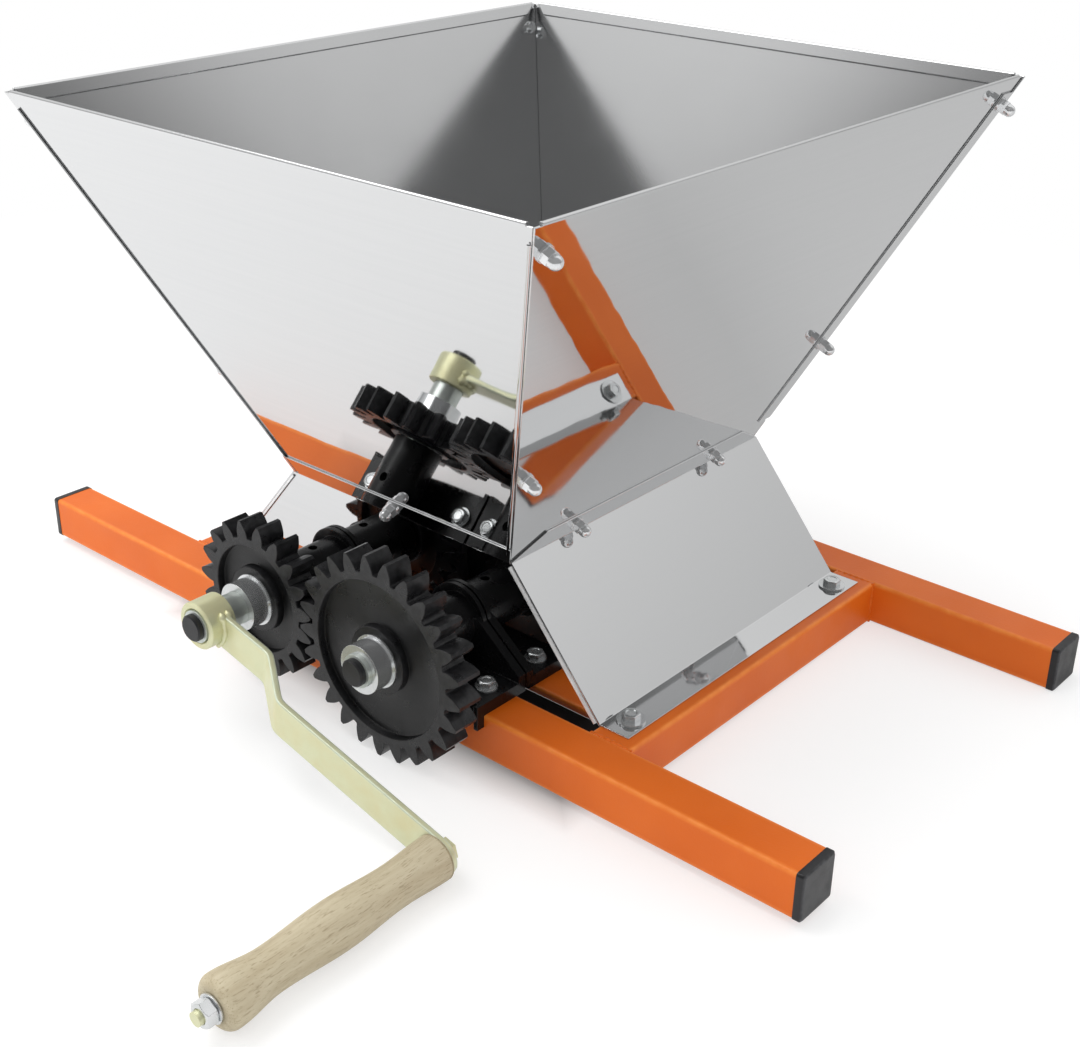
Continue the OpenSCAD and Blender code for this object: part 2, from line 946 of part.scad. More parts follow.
// Bearings: a moulded block on the beam, with its nose towards the outside
module bearing(end, side) {
    base_top = tube + base_t;
    skirt_face = frame_outer + skirt_t;
    web_top = tube + web_h;
    eased_half = web_top_half + 2 * web_ease;
    nose_r = nose_d / 2;
    dish_slope = (ring_r - ring_rim - nose_r) / ring_dish;
    mirrored_y(side)
        difference() {
            union() {
                translate([end * shaft_x, 0, 0]) {
                    across(web_back, skirt_face)
                        polygon([[-base_half, tube], [base_half, tube],
                            [base_half, base_top], [-base_half, base_top]]);
                    across(frame_outer + fit_clear, skirt_face)
                        polygon([[-base_half, tube - skirt_drop], [base_half, tube - skirt_drop],
                            [base_half, base_top], [-base_half, base_top]]);
                    for (edge = [-1, 1])
                        mirrored_x(edge)
                            across(frame_outer + fit_clear, skirt_face + skirt_rib_reach)
                                polygon([[base_half - skirt_t, tube - skirt_rib_drop],
                                    [base_half, tube - skirt_rib_drop],
                                    [base_half, base_top], [base_half - skirt_t, base_top]]);
                    across(web_back, web_back + web_t)
                        polygon([[-base_half, tube], [base_half, tube],
                            [base_half, tube + web_end_h], [eased_half, web_top - web_ease],
                            [web_top_half, web_top], [-web_top_half, web_top],
                            [-eased_half, web_top - web_ease], [-base_half, tube + web_end_h]]);
                    across(web_back, frame_outer)
                        polygon([[-nose_rib / 2, tube], [nose_rib / 2, tube],
                            [nose_rib / 2, shaft_z], [-nose_rib / 2, shaft_z]]);
                }
                along_shaft(end * shaft_x, web_back) {
                    difference() {
                        cylinder(h = ring_t, r = ring_r);
                        translate([0, 0, ring_t - ring_dish])
                            cylinder(h = 2 * ring_dish, r1 = nose_r, r2 = nose_r + 2 * ring_dish * dish_slope);
                    }
                    cylinder(h = bearing_len, r = nose_r);
                }
            }
            along_shaft(end * shaft_x, web_back - cut)
                cylinder(h = bearing_len + 2 * cut, r = shaft_r + run_clear);
            translate([end * shaft_x, -nose_end + oil_back, shaft_z])
                cylinder(h = nose_d, r = oil_d / 2);
            for (bolt = [-1, 1])
                translate([end * shaft_x + bolt * bearing_bolt_x, -beam_y, tube - cut])
                    cylinder(h = base_t + 2 * cut, r = bolt_d / 2 + bolt_clear);
        }
}

module front_left_bearing() {
    color(black)
        placed()
            bearing(-1, -1);
}

module front_right_bearing() {
    color(black)
        placed()
            bearing(1, -1);
}

module rear_left_bearing() {
    color(black)
        placed()
            bearing(-1, 1);
}

module rear_right_bearing() {
    color(black)
        placed()
            bearing(1, 1);
}

module at_bearing_bolts() {
    placed()
        for (x = bearing_bolts_x, side = [-1, 1])
            translate([x, side * beam_y, tube + base_t])
                children();
}

module bearing_bolts() {
    color(zinc)
        at_bearing_bolts()
            translate([0, 0, washer_t])
                hex_bolt();
}

module bearing_washers() {
    color(zinc)
        at_bearing_bolts()
            pipe(bearing_washer_d / 2, bolt_d / 2 + bolt_clear, washer_t);
}

// Shafts and rollers
// Stands children at a roller's cross pins
module at_roller_pins(x) {
    for (end = [-1, 1])
        translate([x, end * (roller_half - pin_inset), shaft_z])
            rotate([0, 90, 0])
                children();
}

// Shaft from the rear bearing to a front end
module shaft(x, front) {
    difference() {
        along_shaft(x, -rear_end)
            pipe(shaft_r, shaft_r - shaft_wall, front + rear_end);
        at_roller_pins(x)
            cylinder(h = 2 * shaft_d, r = pin_d / 2 + fit_clear, center = true);
    }
}

module drive_shaft() {
    color(zinc)
        placed()
            shaft(-shaft_x, drive_end);
}

module driven_shaft() {
    color(zinc)
        placed()
            shaft(shaft_x, driven_end);
}

module shaft_plug() {
    stem_r = shaft_r - shaft_wall - fit_clear;
    chamfer = plug_head / 4;
    cylinder(h = plug_head - chamfer, r = plug_d / 2);
    translate([0, 0, plug_head - chamfer])
        cylinder(h = chamfer, r1 = plug_d / 2, r2 = plug_d / 2 - chamfer);
    translate([0, 0, -plug_depth])
        cylinder(h = plug_depth, r = stem_r);
}

module shaft_plugs(x, front) {
    along_shaft(x, front)
        shaft_plug();
    along_shaft(x, -rear_end)
        mirror([0, 0, 1])
            shaft_plug();
}

module drive_shaft_plugs() {
    color(black)
        placed()
            shaft_plugs(-shaft_x, drive_end);
}

module driven_shaft_plugs() {
    color(black)
        placed()
            shaft_plugs(shaft_x, driven_end);
}

// Cross section of a roller: a ribbed wall, a hub, and the spokes between them
module roller_section() {
    body_r = roller_r - rib_r;
    inner_r = body_r - roller_wall;
    hub_r = roller_hub_d / 2;
    difference() {
        union() {
            circle(body_r);
            for (i = [0:roller_ribs - 1])
                rotate(i * 360 / roller_ribs)
                    translate([body_r, 0])
                        circle(rib_r);
        }
        difference() {
            circle(inner_r);
            circle(hub_r);
            for (spoke = [45:90:315])
                rotate(spoke)
                    translate([0, -roller_spoke / 2])
                        square([body_r, roller_spoke]);
        }
        circle(shaft_r + fit_clear);
    }
}

module roller(x) {
    difference() {
        along_shaft(x, -roller_half)
            linear_extrude(2 * roller_half)
                roller_section();
        at_roller_pins(x)
            cylinder(h = roller_hub_d + cut, r = pin_d / 2 + fit_clear, center = true);
    }
}

module drive_roller() {
    color(black)
        placed()
            roller(-shaft_x);
}

module driven_roller() {
    color(black)
        placed()
            roller(shaft_x);
}

module roller_pins(x) {
    at_roller_pins(x)
        cylinder(h = roller_hub_d, r = pin_d / 2, center = true);
}

module drive_roller_pins() {
    color(zinc)
        placed()
            roller_pins(-shaft_x);
}

module driven_roller_pins() {
    color(zinc)
        placed()
            roller_pins(shaft_x);
}

// Gears with involute teeth. The gaps go below the pitch circle by this many modules
tooth_root = 1.25;
function pitch_r(teeth) = gear_module * teeth / 2;
function base_r(teeth) = pitch_r(teeth) * cos(pressure_angle);
function tip_r(teeth) = pitch_r(teeth) + gear_module;
function root_r(teeth) = pitch_r(teeth) - tooth_root * gear_module;

// Angle that the involute of a base circle turns through on its way to radius r
function involute_turn(base, r) =
    r <= base ? 0 : let (t = sqrt(pow(r / base, 2) - 1)) t * 180 / PI - atan(t);

// Half of the angle that a tooth fills at radius r, with its share of the play taken off
function tooth_half(teeth, r) =
    90 / teeth - backlash / 4 / pitch_r(teeth) * 180 / PI
    + involute_turn(base_r(teeth), pitch_r(teeth)) - involute_turn(base_r(teeth), r);

function polar(r, angle) = r * [cos(angle), sin(angle)];

// Radii of the points along a tooth's flank, from the root to the tip
flank_steps = 4;
function flank(teeth) = concat([root_r(teeth)],
    [for (i = [0:flank_steps]) base_r(teeth) + (tip_r(teeth) - base_r(teeth)) * i / flank_steps]);

function tooth(teeth, at) =
    let (radii = flank(teeth))
    concat([for (r = radii) polar(r, at - tooth_half(teeth, r))],
        [for (i = [len(radii) - 1:-1:0]) polar(radii[i], at + tooth_half(teeth, radii[i]))]);

// Gear with one tooth at the given angle, a dished web on both faces and a bore for its collar
module gear(teeth, at) {
    hub_r = hub_d / 2;
    dish = (gear_w - gear_web) / 2;
    difference() {
        linear_extrude(gear_w)
            polygon([for (i = [0:teeth - 1]) each tooth(teeth, at + i * 360 / teeth)]);
        for (face = [-cut, gear_w - dish])
            translate([0, 0, face])
                pipe(root_r(teeth) - gear_rim, hub_r, dish + cut);
        translate([0, 0, -cut])
            cylinder(h = gear_w + 2 * cut, r = collar_d / 2 + fit_clear);
    }
}

// The driven gear's tooth meets a gap of the drive gear
module drive_gear() {
    gap_at = -mesh_turn * driven_teeth / drive_teeth;
    color(black)
        placed()
            along_shaft(-shaft_x, gear_back)
                gear(drive_teeth, gap_at + 180 / drive_teeth);
}

module driven_gear() {
    color(black)
        placed()
            along_shaft(shaft_x, gear_back)
                gear(driven_teeth, 180 + mesh_turn);
}

// Set screw along local +X, through a ring of the given outer radius
module set_screw(outer_r) {
    length = outer_r - shaft_r - 2 * fit_clear;
    translate([shaft_r + fit_clear, 0, 0])
        rotate([0, 90, 0])
            difference() {
                cylinder(h = length, r = set_screw_d / 2);
                translate([0, 0, length - set_socket_depth])
                    cylinder(h = set_socket_depth + cut, r = hex_r(set_socket_af), $fn = 6);
            }
}

module set_screw_hole(outer_r) {
    rotate([0, 90, 0])
        cylinder(h = outer_r + cut, r = set_screw_d / 2 + fit_clear);
}

// Angle of the set screws round their shafts, and their place in front of the gears
set_screw_angle = 260;
set_screw_at = gear_front + shoulder_t + (collar_reach - shoulder_t) / 2;

module gear_collar(x) {
    difference() {
        union() {
            along_shaft(x, gear_back)
                cylinder(h = gear_w + collar_reach, r = collar_d / 2);
            along_shaft(x, gear_front)
                cylinder(h = shoulder_t, r = shoulder_d / 2);
        }
        along_shaft(x, gear_back - cut)
            cylinder(h = gear_w + collar_reach + 2 * cut, r = shaft_r + fit_clear);
        along_shaft(x, set_screw_at)
            rotate([0, 0, set_screw_angle])
                set_screw_hole(collar_d / 2);
    }
}

module drive_gear_collar() {
    color(zinc)
        placed()
            gear_collar(-shaft_x);
}

module driven_gear_collar() {
    color(zinc)
        placed()
            gear_collar(shaft_x);
}

module gear_screw(x) {
    along_shaft(x, set_screw_at)
        rotate([0, 0, set_screw_angle])
            set_screw(collar_d / 2);
}

module drive_gear_screw() {
    color(zinc)
        placed()
            gear_screw(-shaft_x);
}

module driven_gear_screw() {
    color(zinc)
        placed()
            gear_screw(shaft_x);
}

// Crank: local X runs out along the arm, Y as in the frame
module on_crank() {
    placed()
        translate([-shaft_x, 0, shaft_z])
            rotate([0, -crank_angle, 0])
                children();
}

module crank_boss() {
    color(passivated)
        placed()
            difference() {
                along_shaft(-shaft_x, crank_back)
                    pipe(crank_boss_d / 2, shaft_r + fit_clear, crank_boss_len);
                at_boss_screw()
                    set_screw_hole(crank_boss_d / 2);
            }
}

// The boss's set screw stands behind the arm
module at_boss_screw() {
    along_shaft(-shaft_x, crank_back + (crank_boss_len - arm_inset - arm_t) / 2)
        rotate([0, 0, set_screw_angle])
            children();
}

module crank_boss_screw() {
    color(zinc)
        placed()
            at_boss_screw()
                set_screw(crank_boss_d / 2);
}

module crank_arm() {
    path = [[0, -arm_near], [step_start, -arm_near], [step_end, -arm_far], [throw + arm_w, -arm_far]];
    color(passivated)
        on_crank()
            difference() {
                intersection() {
                    linear_extrude(arm_w, center = true)
                        polygon(strip_outline(path, arm_t));
                    across(arm_near - arm_t - cut, arm_far + cut) {
                        translate([0, -arm_w / 2])
                            square([throw, arm_w]);
                        translate([throw, 0])
                            circle(arm_w / 2);
                    }
                }
                across(crank_back, crank_front)
                    circle(crank_boss_d / 2 + fit_clear);
                on_handle(arm_far - arm_t - cut)
                    cylinder(h = arm_t + 2 * cut, r = handle_bolt_d / 2 + bolt_clear);
            }
}

// Handle, along the bolt: local +Z points away from the gears
module on_handle(y) {
    translate([throw, -y, 0])
        rotate([90, 0, 0])
            children();
}

module handle_bolt() {
    head_back = arm_far - arm_t - handle_head_h;
    color(passivated)
        on_crank() {
            on_handle(head_back)
                cylinder(h = handle_head_h, r = hex_r(handle_nut_af), $fn = 6);
            on_handle(head_back)
                cylinder(h = bolt_end - head_back, r = handle_bolt_d / 2);
        }
}

// Stations of the turned grip: place along it and radius, joined by cosine curves
round_len = grip_flare_r - grip_end_r;
grip_stations = [
    [0, grip_inner_r],
    [grip_len * grip_inner_waist, grip_waist_r],
    [grip_len * grip_swell, grip_swell_r],
    [grip_len * grip_outer_waist, grip_waist_r],
    [grip_len - round_len, grip_flare_r]
];
curve_steps = 6;

function eased(a, b, k) = [a[0] + (b[0] - a[0]) * k, a[1] + (b[1] - a[1]) * (1 - cos(180 * k)) / 2];

grip_curve = [for (i = [0:len(grip_stations) - 2]) for (k = [0:curve_steps - 1])
    eased(grip_stations[i], grip_stations[i + 1], k / curve_steps)];
grip_round = [for (a = [0:15:90])
    [grip_len - round_len + round_len * sin(a), grip_end_r + round_len * cos(a)]];

module handle_grip() {
    side = concat(grip_curve, grip_round);
    bore_r = handle_bolt_d / 2 + run_clear;
    color(beech)
        on_crank()
            on_handle(grip_back)
                rotate_extrude()
                    polygon(concat([[bore_r, 0]], [for (p = side) [p[1], p[0]]], [[bore_r, grip_len]]));
}

module handle_washer() {
    color(zinc)
        on_crank()
            on_handle(washer_back)
                pipe(handle_washer_d / 2, handle_bolt_d / 2 + bolt_clear, washer_t);
}

module handle_nut() {
    color(zinc)
        on_crank()
            on_handle(nut_back)
                difference() {
                    cylinder(h = handle_nut_h, r = hex_r(handle_nut_af), $fn = 6);
                    translate([0, 0, -cut])
                        cylinder(h = handle_nut_h + 2 * cut, r = handle_bolt_d / 2 + fit_clear);
                }
}

front_beam();
rear_beam();
left_cross_tube();
right_cross_tube();
beam_end_caps();
housing_left_plate();
housing_right_plate();
housing_front_plate();
housing_rear_plate();
housing_foot_bolts();
housing_foot_washers();
hopper_left_panel();
hopper_right_panel();
hopper_front_panel();
hopper_rear_panel();
corner_screws();
corner_washers();
corner_cap_nuts();
lip_screws();
lip_washers();
lip_cap_nuts();
front_left_bearing();
front_right_bearing();
rear_left_bearing();
rear_right_bearing();
bearing_bolts();
bearing_washers();
drive_shaft();
drive_shaft_plugs();
drive_roller();
drive_roller_pins();
drive_gear();
drive_gear_collar();
drive_gear_screw();
driven_shaft();
driven_shaft_plugs();
driven_roller();
driven_roller_pins();
driven_gear();
driven_gear_collar();
driven_gear_screw();
crank_boss();
crank_boss_screw();
crank_arm();
handle_bolt();
handle_grip();
handle_washer();
handle_nut();
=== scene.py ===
import json

import bmesh
import bpy
import numpy as np
from mathutils import Matrix, Vector


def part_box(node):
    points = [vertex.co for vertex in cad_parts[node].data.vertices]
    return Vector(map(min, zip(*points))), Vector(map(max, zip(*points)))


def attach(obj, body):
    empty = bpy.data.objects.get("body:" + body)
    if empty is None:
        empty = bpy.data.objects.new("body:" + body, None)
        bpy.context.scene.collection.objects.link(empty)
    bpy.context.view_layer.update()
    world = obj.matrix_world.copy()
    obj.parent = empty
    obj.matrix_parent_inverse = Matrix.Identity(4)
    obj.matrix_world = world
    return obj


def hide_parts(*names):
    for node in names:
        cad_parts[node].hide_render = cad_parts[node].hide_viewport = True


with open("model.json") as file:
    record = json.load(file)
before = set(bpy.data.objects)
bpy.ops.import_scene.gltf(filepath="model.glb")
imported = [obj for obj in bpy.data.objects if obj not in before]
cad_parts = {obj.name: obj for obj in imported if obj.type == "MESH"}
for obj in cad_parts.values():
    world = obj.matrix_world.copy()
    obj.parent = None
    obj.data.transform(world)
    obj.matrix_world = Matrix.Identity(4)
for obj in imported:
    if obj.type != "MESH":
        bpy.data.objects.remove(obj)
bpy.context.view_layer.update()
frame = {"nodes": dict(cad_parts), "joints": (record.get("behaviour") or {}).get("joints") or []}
nodes = frame["nodes"]
joint_at = {joint["name"]: np.array(joint["pos_m"]) for joint in frame["joints"]}

# Frame: four lengths of 30 mm square steel tube with rounded corners. The two cross tubes stand
# between the beams, and the whole frame is powder coated in satin orange after welding.
TUBE_ROUND = 0.002
TUBE_INNER_ROUND = 0.001
TUBE_WALL = 0.002
ORANGE = (0.80, 0.160, 0.009, 1)
ORANGE_DEEP = (0.73, 0.135, 0.006, 1)
# Paler orange for the tubes' rounded corners: partly a thinner coat there, partly a painted highlight.
ORANGE_THIN_COAT_AND_HIGHLIGHT = (0.90, 0.27, 0.045, 1)
COAT_GLOSS = 0.36
EASING_SAMPLES = 8


def node(tree, kind, feeds=None, **settings):
    """Adds a shader node. Settings are its own properties; feeds gives an input a value or an output."""
    made = tree.nodes.new("ShaderNode" + kind)
    for key, value in settings.items():
        setattr(made, key, value)
    for key, value in (feeds or {}).items():
        if isinstance(value, bpy.types.NodeSocket):
            tree.links.new(value, made.inputs[key])
        else:
            made.inputs[key].default_value = value
    return made


def maths(tree, operation, first, second=0.0):
    """Result of a sum on two values or outputs."""
    return node(tree, "Math", {0: first, 1: second}, operation=operation).outputs[0]


def between(tree, share, first, second):
    """Colour that lies between two colours, by a share from 0 to 1."""
    return node(tree, "Mix", {0: share, 6: first, 7: second}, data_type="RGBA").outputs[2]


def ramp(tree, value, from_low, from_high, to_low, to_high):
    """Value carried from one range to another, held at the ends."""
    feeds = {"Value": value, "From Min": from_low, "From Max": from_high, "To Min": to_low, "To Max": to_high}
    return node(tree, "MapRange", feeds).outputs["Result"]


def group(name, takes, gives):
    """Starts a node group with named inputs, their values, and outputs that change over the surface."""
    tree = bpy.data.node_groups.new(name, "ShaderNodeTree")
    for label, value in takes.items():
        kind = "NodeSocketVector" if isinstance(value, tuple) else "NodeSocketFloat"
        tree.interface.new_socket(label, in_out="INPUT", socket_type=kind).default_value = value
    for label in gives:
        tree.interface.new_socket(label, in_out="OUTPUT", socket_type="NodeSocketFloat")
    return tree, tree.nodes.new("NodeGroupInput").outputs, tree.nodes.new("NodeGroupOutput").inputs


def noise_group(name, detail, from_low, from_high):
    """Group that puts out noise of a given size in metres, spread between a low and a high value."""
    tree, given, result = group(name, {"Size": 0.001, "Low": 0.0, "High": 1.0}, ["Value"])
    place = node(tree, "TexCoord").outputs["Object"]
    scale = maths(tree, "DIVIDE", 1.0, given["Size"])
    grains = node(tree, "TexNoise", {"Vector": place, "Scale": scale, "Detail": detail}).outputs[0]
    spread = ramp(tree, grains, from_low, from_high, given["Low"], given["High"])
    tree.links.new(spread, result["Value"])
    return tree


fine_grain = noise_group("fine_grain", detail=2.0, from_low=0.3, from_high=0.7)
slow_drift = noise_group("slow_drift", detail=3.0, from_low=0.36, from_high=0.64)


def edge_marks_group():
    """Group that reads how near a point is to an edge of its piece, and breaks that up with noise."""
    tree, given, result = group("worn_edges", {"Size": 0.006, "Keep": 0.6}, ["Mask"])
    edge = node(tree, "Attribute", attribute_name="edge").outputs["Fac"]
    feeds = {"Size": given["Size"], "Low": given["Keep"]}
    breaks = node(tree, "Group", feeds, node_tree=fine_grain).outputs["Value"]
    tree.links.new(maths(tree, "MULTIPLY", edge, breaks), result["Mask"])
    return tree


worn_edges = edge_marks_group()


def finish(name):
    """Starts a material that holds a Principled shader alone, and returns it with its tree and its shader."""
    made = bpy.data.materials.new(name)
    made.use_nodes = True
    return made, made.node_tree, made.node_tree.nodes["Principled BSDF"]


def feed(tree, shader, **outputs):
    """Links outputs to the shader's sockets, named with _ for a space."""
    for socket, output in outputs.items():
        tree.links.new(output, shader.inputs[socket.replace("_", " ")])


def relief(tree, height, depth, strength=1.0, easing=0.0):
    """Normal of a surface with bumps of the given depth in metres. Easing rounds its sharp edges over
    that radius."""
    bumps = node(tree, "Bump", {"Height": height, "Distance": depth, "Strength": strength})
    if easing:
        eased = node(tree, "Bevel", {"Radius": easing}, samples=EASING_SAMPLES).outputs["Normal"]
        tree.links.new(eased, bumps.inputs["Normal"])
    return bumps.outputs["Normal"]


def noise(tree, kind, size, low=0.0, high=1.0):
    """Value of a noise group placed in a material."""
    return node(tree, "Group", {"Size": size, "Low": low, "High": high}, node_tree=kind).outputs["Value"]


powder_coat, tree, shader = finish("orange_powder_coat")
shader.inputs["Specular IOR Level"].default_value = COAT_GLOSS
body_colour = between(tree, noise(tree, slow_drift, size=0.09), ORANGE, ORANGE_DEEP)
# Painted highlight: the coat is paler along the rounded corners, partly for a thinner coat and partly as a
# painted highlight.
edge_mark = node(tree, "Group", {"Size": 0.008, "Keep": 0.45}, node_tree=worn_edges).outputs["Mask"]
feed(tree, shader,
     Base_Color=between(tree, edge_mark, body_colour, ORANGE_THIN_COAT_AND_HIGHLIGHT),
     Roughness=noise(tree, slow_drift, size=0.03, low=0.36, high=0.46),
     Normal=relief(tree, noise(tree, fine_grain, size=0.0016), depth=0.0001, strength=0.4))


def rounded_square(half, corner, arc_points=6, lead=0.0014):
    """Outline of a square with round corners, and its nearness to a corner from 0 to 1.
    Each corner is a quarter circle, with one point on the flat before it and one after."""
    turn = np.linspace(0, np.pi / 2, arc_points)
    arc = half - corner + corner * np.stack([np.cos(turn), np.sin(turn)], axis=1)
    flat = half - corner - lead
    side = np.concatenate([[[half, flat]], arc, [[flat, half]]])
    quarter = np.array([[0, -1], [1, 0]])
    outline = np.concatenate([side @ np.linalg.matrix_power(quarter, k).T for k in range(4)])
    near = np.concatenate([[0], np.sin(2 * turn) * 0.5 + 0.5, [0]])
    return outline, np.tile(near, 4)


def skin(name, grids, edges=None, ends="capped", smooth=35):
    """Mesh of grids of points. Each row of a grid is a closed outline, and faces join it to the next row.
    Ends get a flat face, or in a loop the last row joins the first. Edges hold each point's nearness to
    an edge."""
    points, faces = [], []
    start = 0
    for grid in grids:
        rows, columns = grid.shape[:2]
        index = start + np.arange(rows * columns).reshape(rows, columns)
        start += rows * columns
        points.append(grid.reshape(-1, 3))
        if ends == "capped":
            faces += [index[0, ::-1].tolist(), index[-1].tolist()]
        else:
            index = np.vstack([index, index[:1]])
        here, there = index[:-1], index[1:]
        quads = [here, np.roll(here, -1, axis=1), np.roll(there, -1, axis=1), there]
        faces += np.stack(quads, axis=-1).reshape(-1, 4).tolist()
    mesh = bpy.data.meshes.new(name)
    mesh.from_pydata(np.concatenate(points), [], faces)
    shape = bmesh.new()
    shape.from_mesh(mesh)
    bmesh.ops.recalc_face_normals(shape, faces=shape.faces)
    shape.to_mesh(mesh)
    shape.free()
    if edges is not None:
        near = np.concatenate([np.ravel(edge) for edge in edges])
        mesh.attributes.new("edge", "FLOAT", "POINT").data.foreach_set("value", near.astype(np.float32))
    mesh.shade_smooth()
    mesh.set_sharp_from_angle(angle=np.radians(smooth))
    piece = bpy.data.objects.new(name, mesh)
    bpy.context.scene.collection.objects.link(piece)
    return piece


def fit(piece, made, body, slot, *replaced):
    """Gives a piece its finish, lets it ride on a body, and hides the nodes that it replaces."""
    piece.data.materials.append(made)
    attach(piece, body)
    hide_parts(*replaced)


def square_tube(low, high, along):
    """Grid of a hollow square tube: its outline runs along an axis on the outside, and back on the inside."""
    low, high = np.array(low), np.array(high)
    across = [axis for axis in range(3) if axis != along]
    half = (high - low)[across[0]] / 2
    outer, near = rounded_square(half, TUBE_ROUND)
    inner, _ = rounded_square(half - TUBE_WALL, TUBE_INNER_ROUND)
    grid = np.empty((4, len(outer), 3))
    grid[:, :, across] = np.stack([outer, outer, inner, inner]) + ((low + high) / 2)[across]
    grid[:, :, along] = np.array([low, high, high, low])[:, along, None]
    return grid, np.stack([near, near, 0 * near, 0 * near])


for name, along in (("front_beam", 0), ("rear_beam", 0), ("left_cross_tube", 1), ("right_cross_tube", 1)):
    tube_grid, tube_edge = square_tube(*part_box(name), along)
    fit(skin(name + "_coated", [tube_grid], [tube_edge], "loop"), powder_coat, "frame", "orange_paint", name)

# Welds of the frame: a low rippled bead runs round each end of the cross tubes, where they meet the
# inner faces of the beams. The powder coat covers it.
FRAME_BEAD = 0.0017
BEAD_INSET = 0.6
BEAD_PITCH = 0.0042
BEAD_POINTS = 120


def bead(path, radius, outward, ripple=0.16, round_points=10):
    """Grid of a weld bead: a small circle carried along a path, which swells and shrinks in ripples.
    The circle lies across the path, between its outward direction and the normal of the two. The radius
    is the same all along, or one for each point of the path."""
    step = np.gradient(path, axis=0)
    along = step / np.linalg.norm(step, axis=1, keepdims=True)
    travelled = np.concatenate([[0], np.cumsum(np.linalg.norm(np.diff(path, axis=0), axis=1))])
    size = radius * (1 + ripple * np.sin(2 * np.pi * travelled / BEAD_PITCH))
    side = np.cross(along, outward)
    turn = np.linspace(0, 2 * np.pi, round_points, endpoint=False)
    ring = np.cos(turn)[None, :, None] * outward[:, None, :] + np.sin(turn)[None, :, None] * side[:, None, :]
    return path[:, None, :] + size[:, None, None] * ring


def joint_bead(tube, face_y):
    """Bead round the end of a cross tube, on the outline of the tube, just inside its faces."""
    low, high = (np.array(corner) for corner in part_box(tube))
    turn = np.linspace(0, 2 * np.pi, BEAD_POINTS, endpoint=False)
    direction = np.stack([np.cos(turn), 0 * turn, np.sin(turn)], axis=1)
    inside = (high - low)[0] / 2 - BEAD_INSET * FRAME_BEAD
    reach = inside / np.abs(direction).max(axis=1, keepdims=True)
    middle = (low + high) / 2
    middle[1] = face_y
    return bead(middle + direction * reach, FRAME_BEAD, direction)


beam_faces = (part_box("front_beam")[1].y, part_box("rear_beam")[0].y)
bead_grids = [joint_bead(tube, y) for tube in ("left_cross_tube", "right_cross_tube") for y in beam_faces]
frame_welds = skin("frame_welds", bead_grids, ends="loop", smooth=80)
fit(frame_welds, powder_coat, "frame", "orange_paint")

# End caps: black moulded plastic plugs that are pressed into the open ends of the beams. The head
# stands a hair proud of the tube, and its flat face has a narrow bevel that is painted paler, partly for
# rubbing and partly as a painted highlight.
CAP_HEAD = 0.0053
CAP_PROUD = 0.0003
CAP_BEVEL = 0.0013
CAP_PLUG = 0.014
CAP_DISH = 0.0002
PLUG_PLAY = 0.0002
PLUG_TAPER = 0.0005
PLUG_LEAD = 0.0004
CAP_BLACK = (0.014, 0.014, 0.0155, 1)
# Paler black for the caps' bevels: partly rubbing, partly a painted highlight.
CAP_RUB_AND_HIGHLIGHT = (0.075, 0.075, 0.08, 1)


def moulded_black(name, deep, rub_and_highlight, rough_low, rough_high, grain, gloss=0.5, easing=0.0):
    """Black moulded plastic with a fine grain of the given size, painted paler along its edges, partly for
    rubbing and partly as a painted highlight.
    """
    made, tree, shader = finish(name)
    shader.inputs["Specular IOR Level"].default_value = gloss
    edge_mark = node(tree, "Group", {"Size": 0.004, "Keep": 0.3}, node_tree=worn_edges).outputs["Mask"]
    cloudy = noise(tree, slow_drift, size=0.02, high=0.10)
    feed(tree, shader,
         Base_Color=between(tree, maths(tree, "MAXIMUM", edge_mark, cloudy), deep, rub_and_highlight),
         Roughness=noise(tree, slow_drift, 0.012, rough_low, rough_high),
         Normal=relief(tree, noise(tree, fine_grain, grain), 0.00006, 0.5, easing))
    return made


cap_plastic = moulded_black(
    "cap_plastic", CAP_BLACK, CAP_RUB_AND_HIGHLIGHT, rough_low=0.30, rough_high=0.42, grain=0.0006, gloss=0.4)


def end_cap(end, middle, half):
    """Grid of an end cap: square outlines of changing size, from the plug's tip to the middle of its face.
    Each row gives its place outside the beam's end, half its side, its corner radius and how much it is
    painted paler, partly for rubbing and partly as a painted highlight."""
    head = half + CAP_PROUD
    plug = half - TUBE_WALL - PLUG_PLAY
    bevel = head - CAP_BEVEL
    rows = (
        (-CAP_PLUG, plug - PLUG_TAPER, TUBE_INNER_ROUND, 0),
        (-PLUG_LEAD, plug, TUBE_INNER_ROUND, 0),
        (0, plug, TUBE_INNER_ROUND, 0),
        (0, head, TUBE_ROUND, 0),
        (CAP_HEAD - CAP_BEVEL, head, TUBE_ROUND, 0),
        (CAP_HEAD - 0.7 * CAP_BEVEL, head - 0.1 * CAP_BEVEL, TUBE_ROUND, 0.4),
        (CAP_HEAD - 0.1 * CAP_BEVEL, head - 0.7 * CAP_BEVEL, TUBE_ROUND, 1),
        (CAP_HEAD, bevel, TUBE_INNER_ROUND, 0.8),
        (CAP_HEAD, bevel - 0.001, TUBE_INNER_ROUND, 0),
        (CAP_HEAD - CAP_DISH, 0.4 * half, TUBE_INNER_ROUND, 0),
        (CAP_HEAD - CAP_DISH, 0.15 * half, TUBE_INNER_ROUND, 0),
    )
    outlines = np.stack([rounded_square(size, corner, lead=PLUG_LEAD)[0] for _, size, corner, _ in rows])
    out = np.array([place for place, *_ in rows])
    grid = np.empty(outlines.shape[:2] + (3,))
    grid[:, :, 0] = (middle[0] + end * out)[:, None]
    grid[:, :, 1:] = outlines + middle[1:]
    return grid, np.repeat([edge_mark for *_, edge_mark in rows], outlines.shape[1])


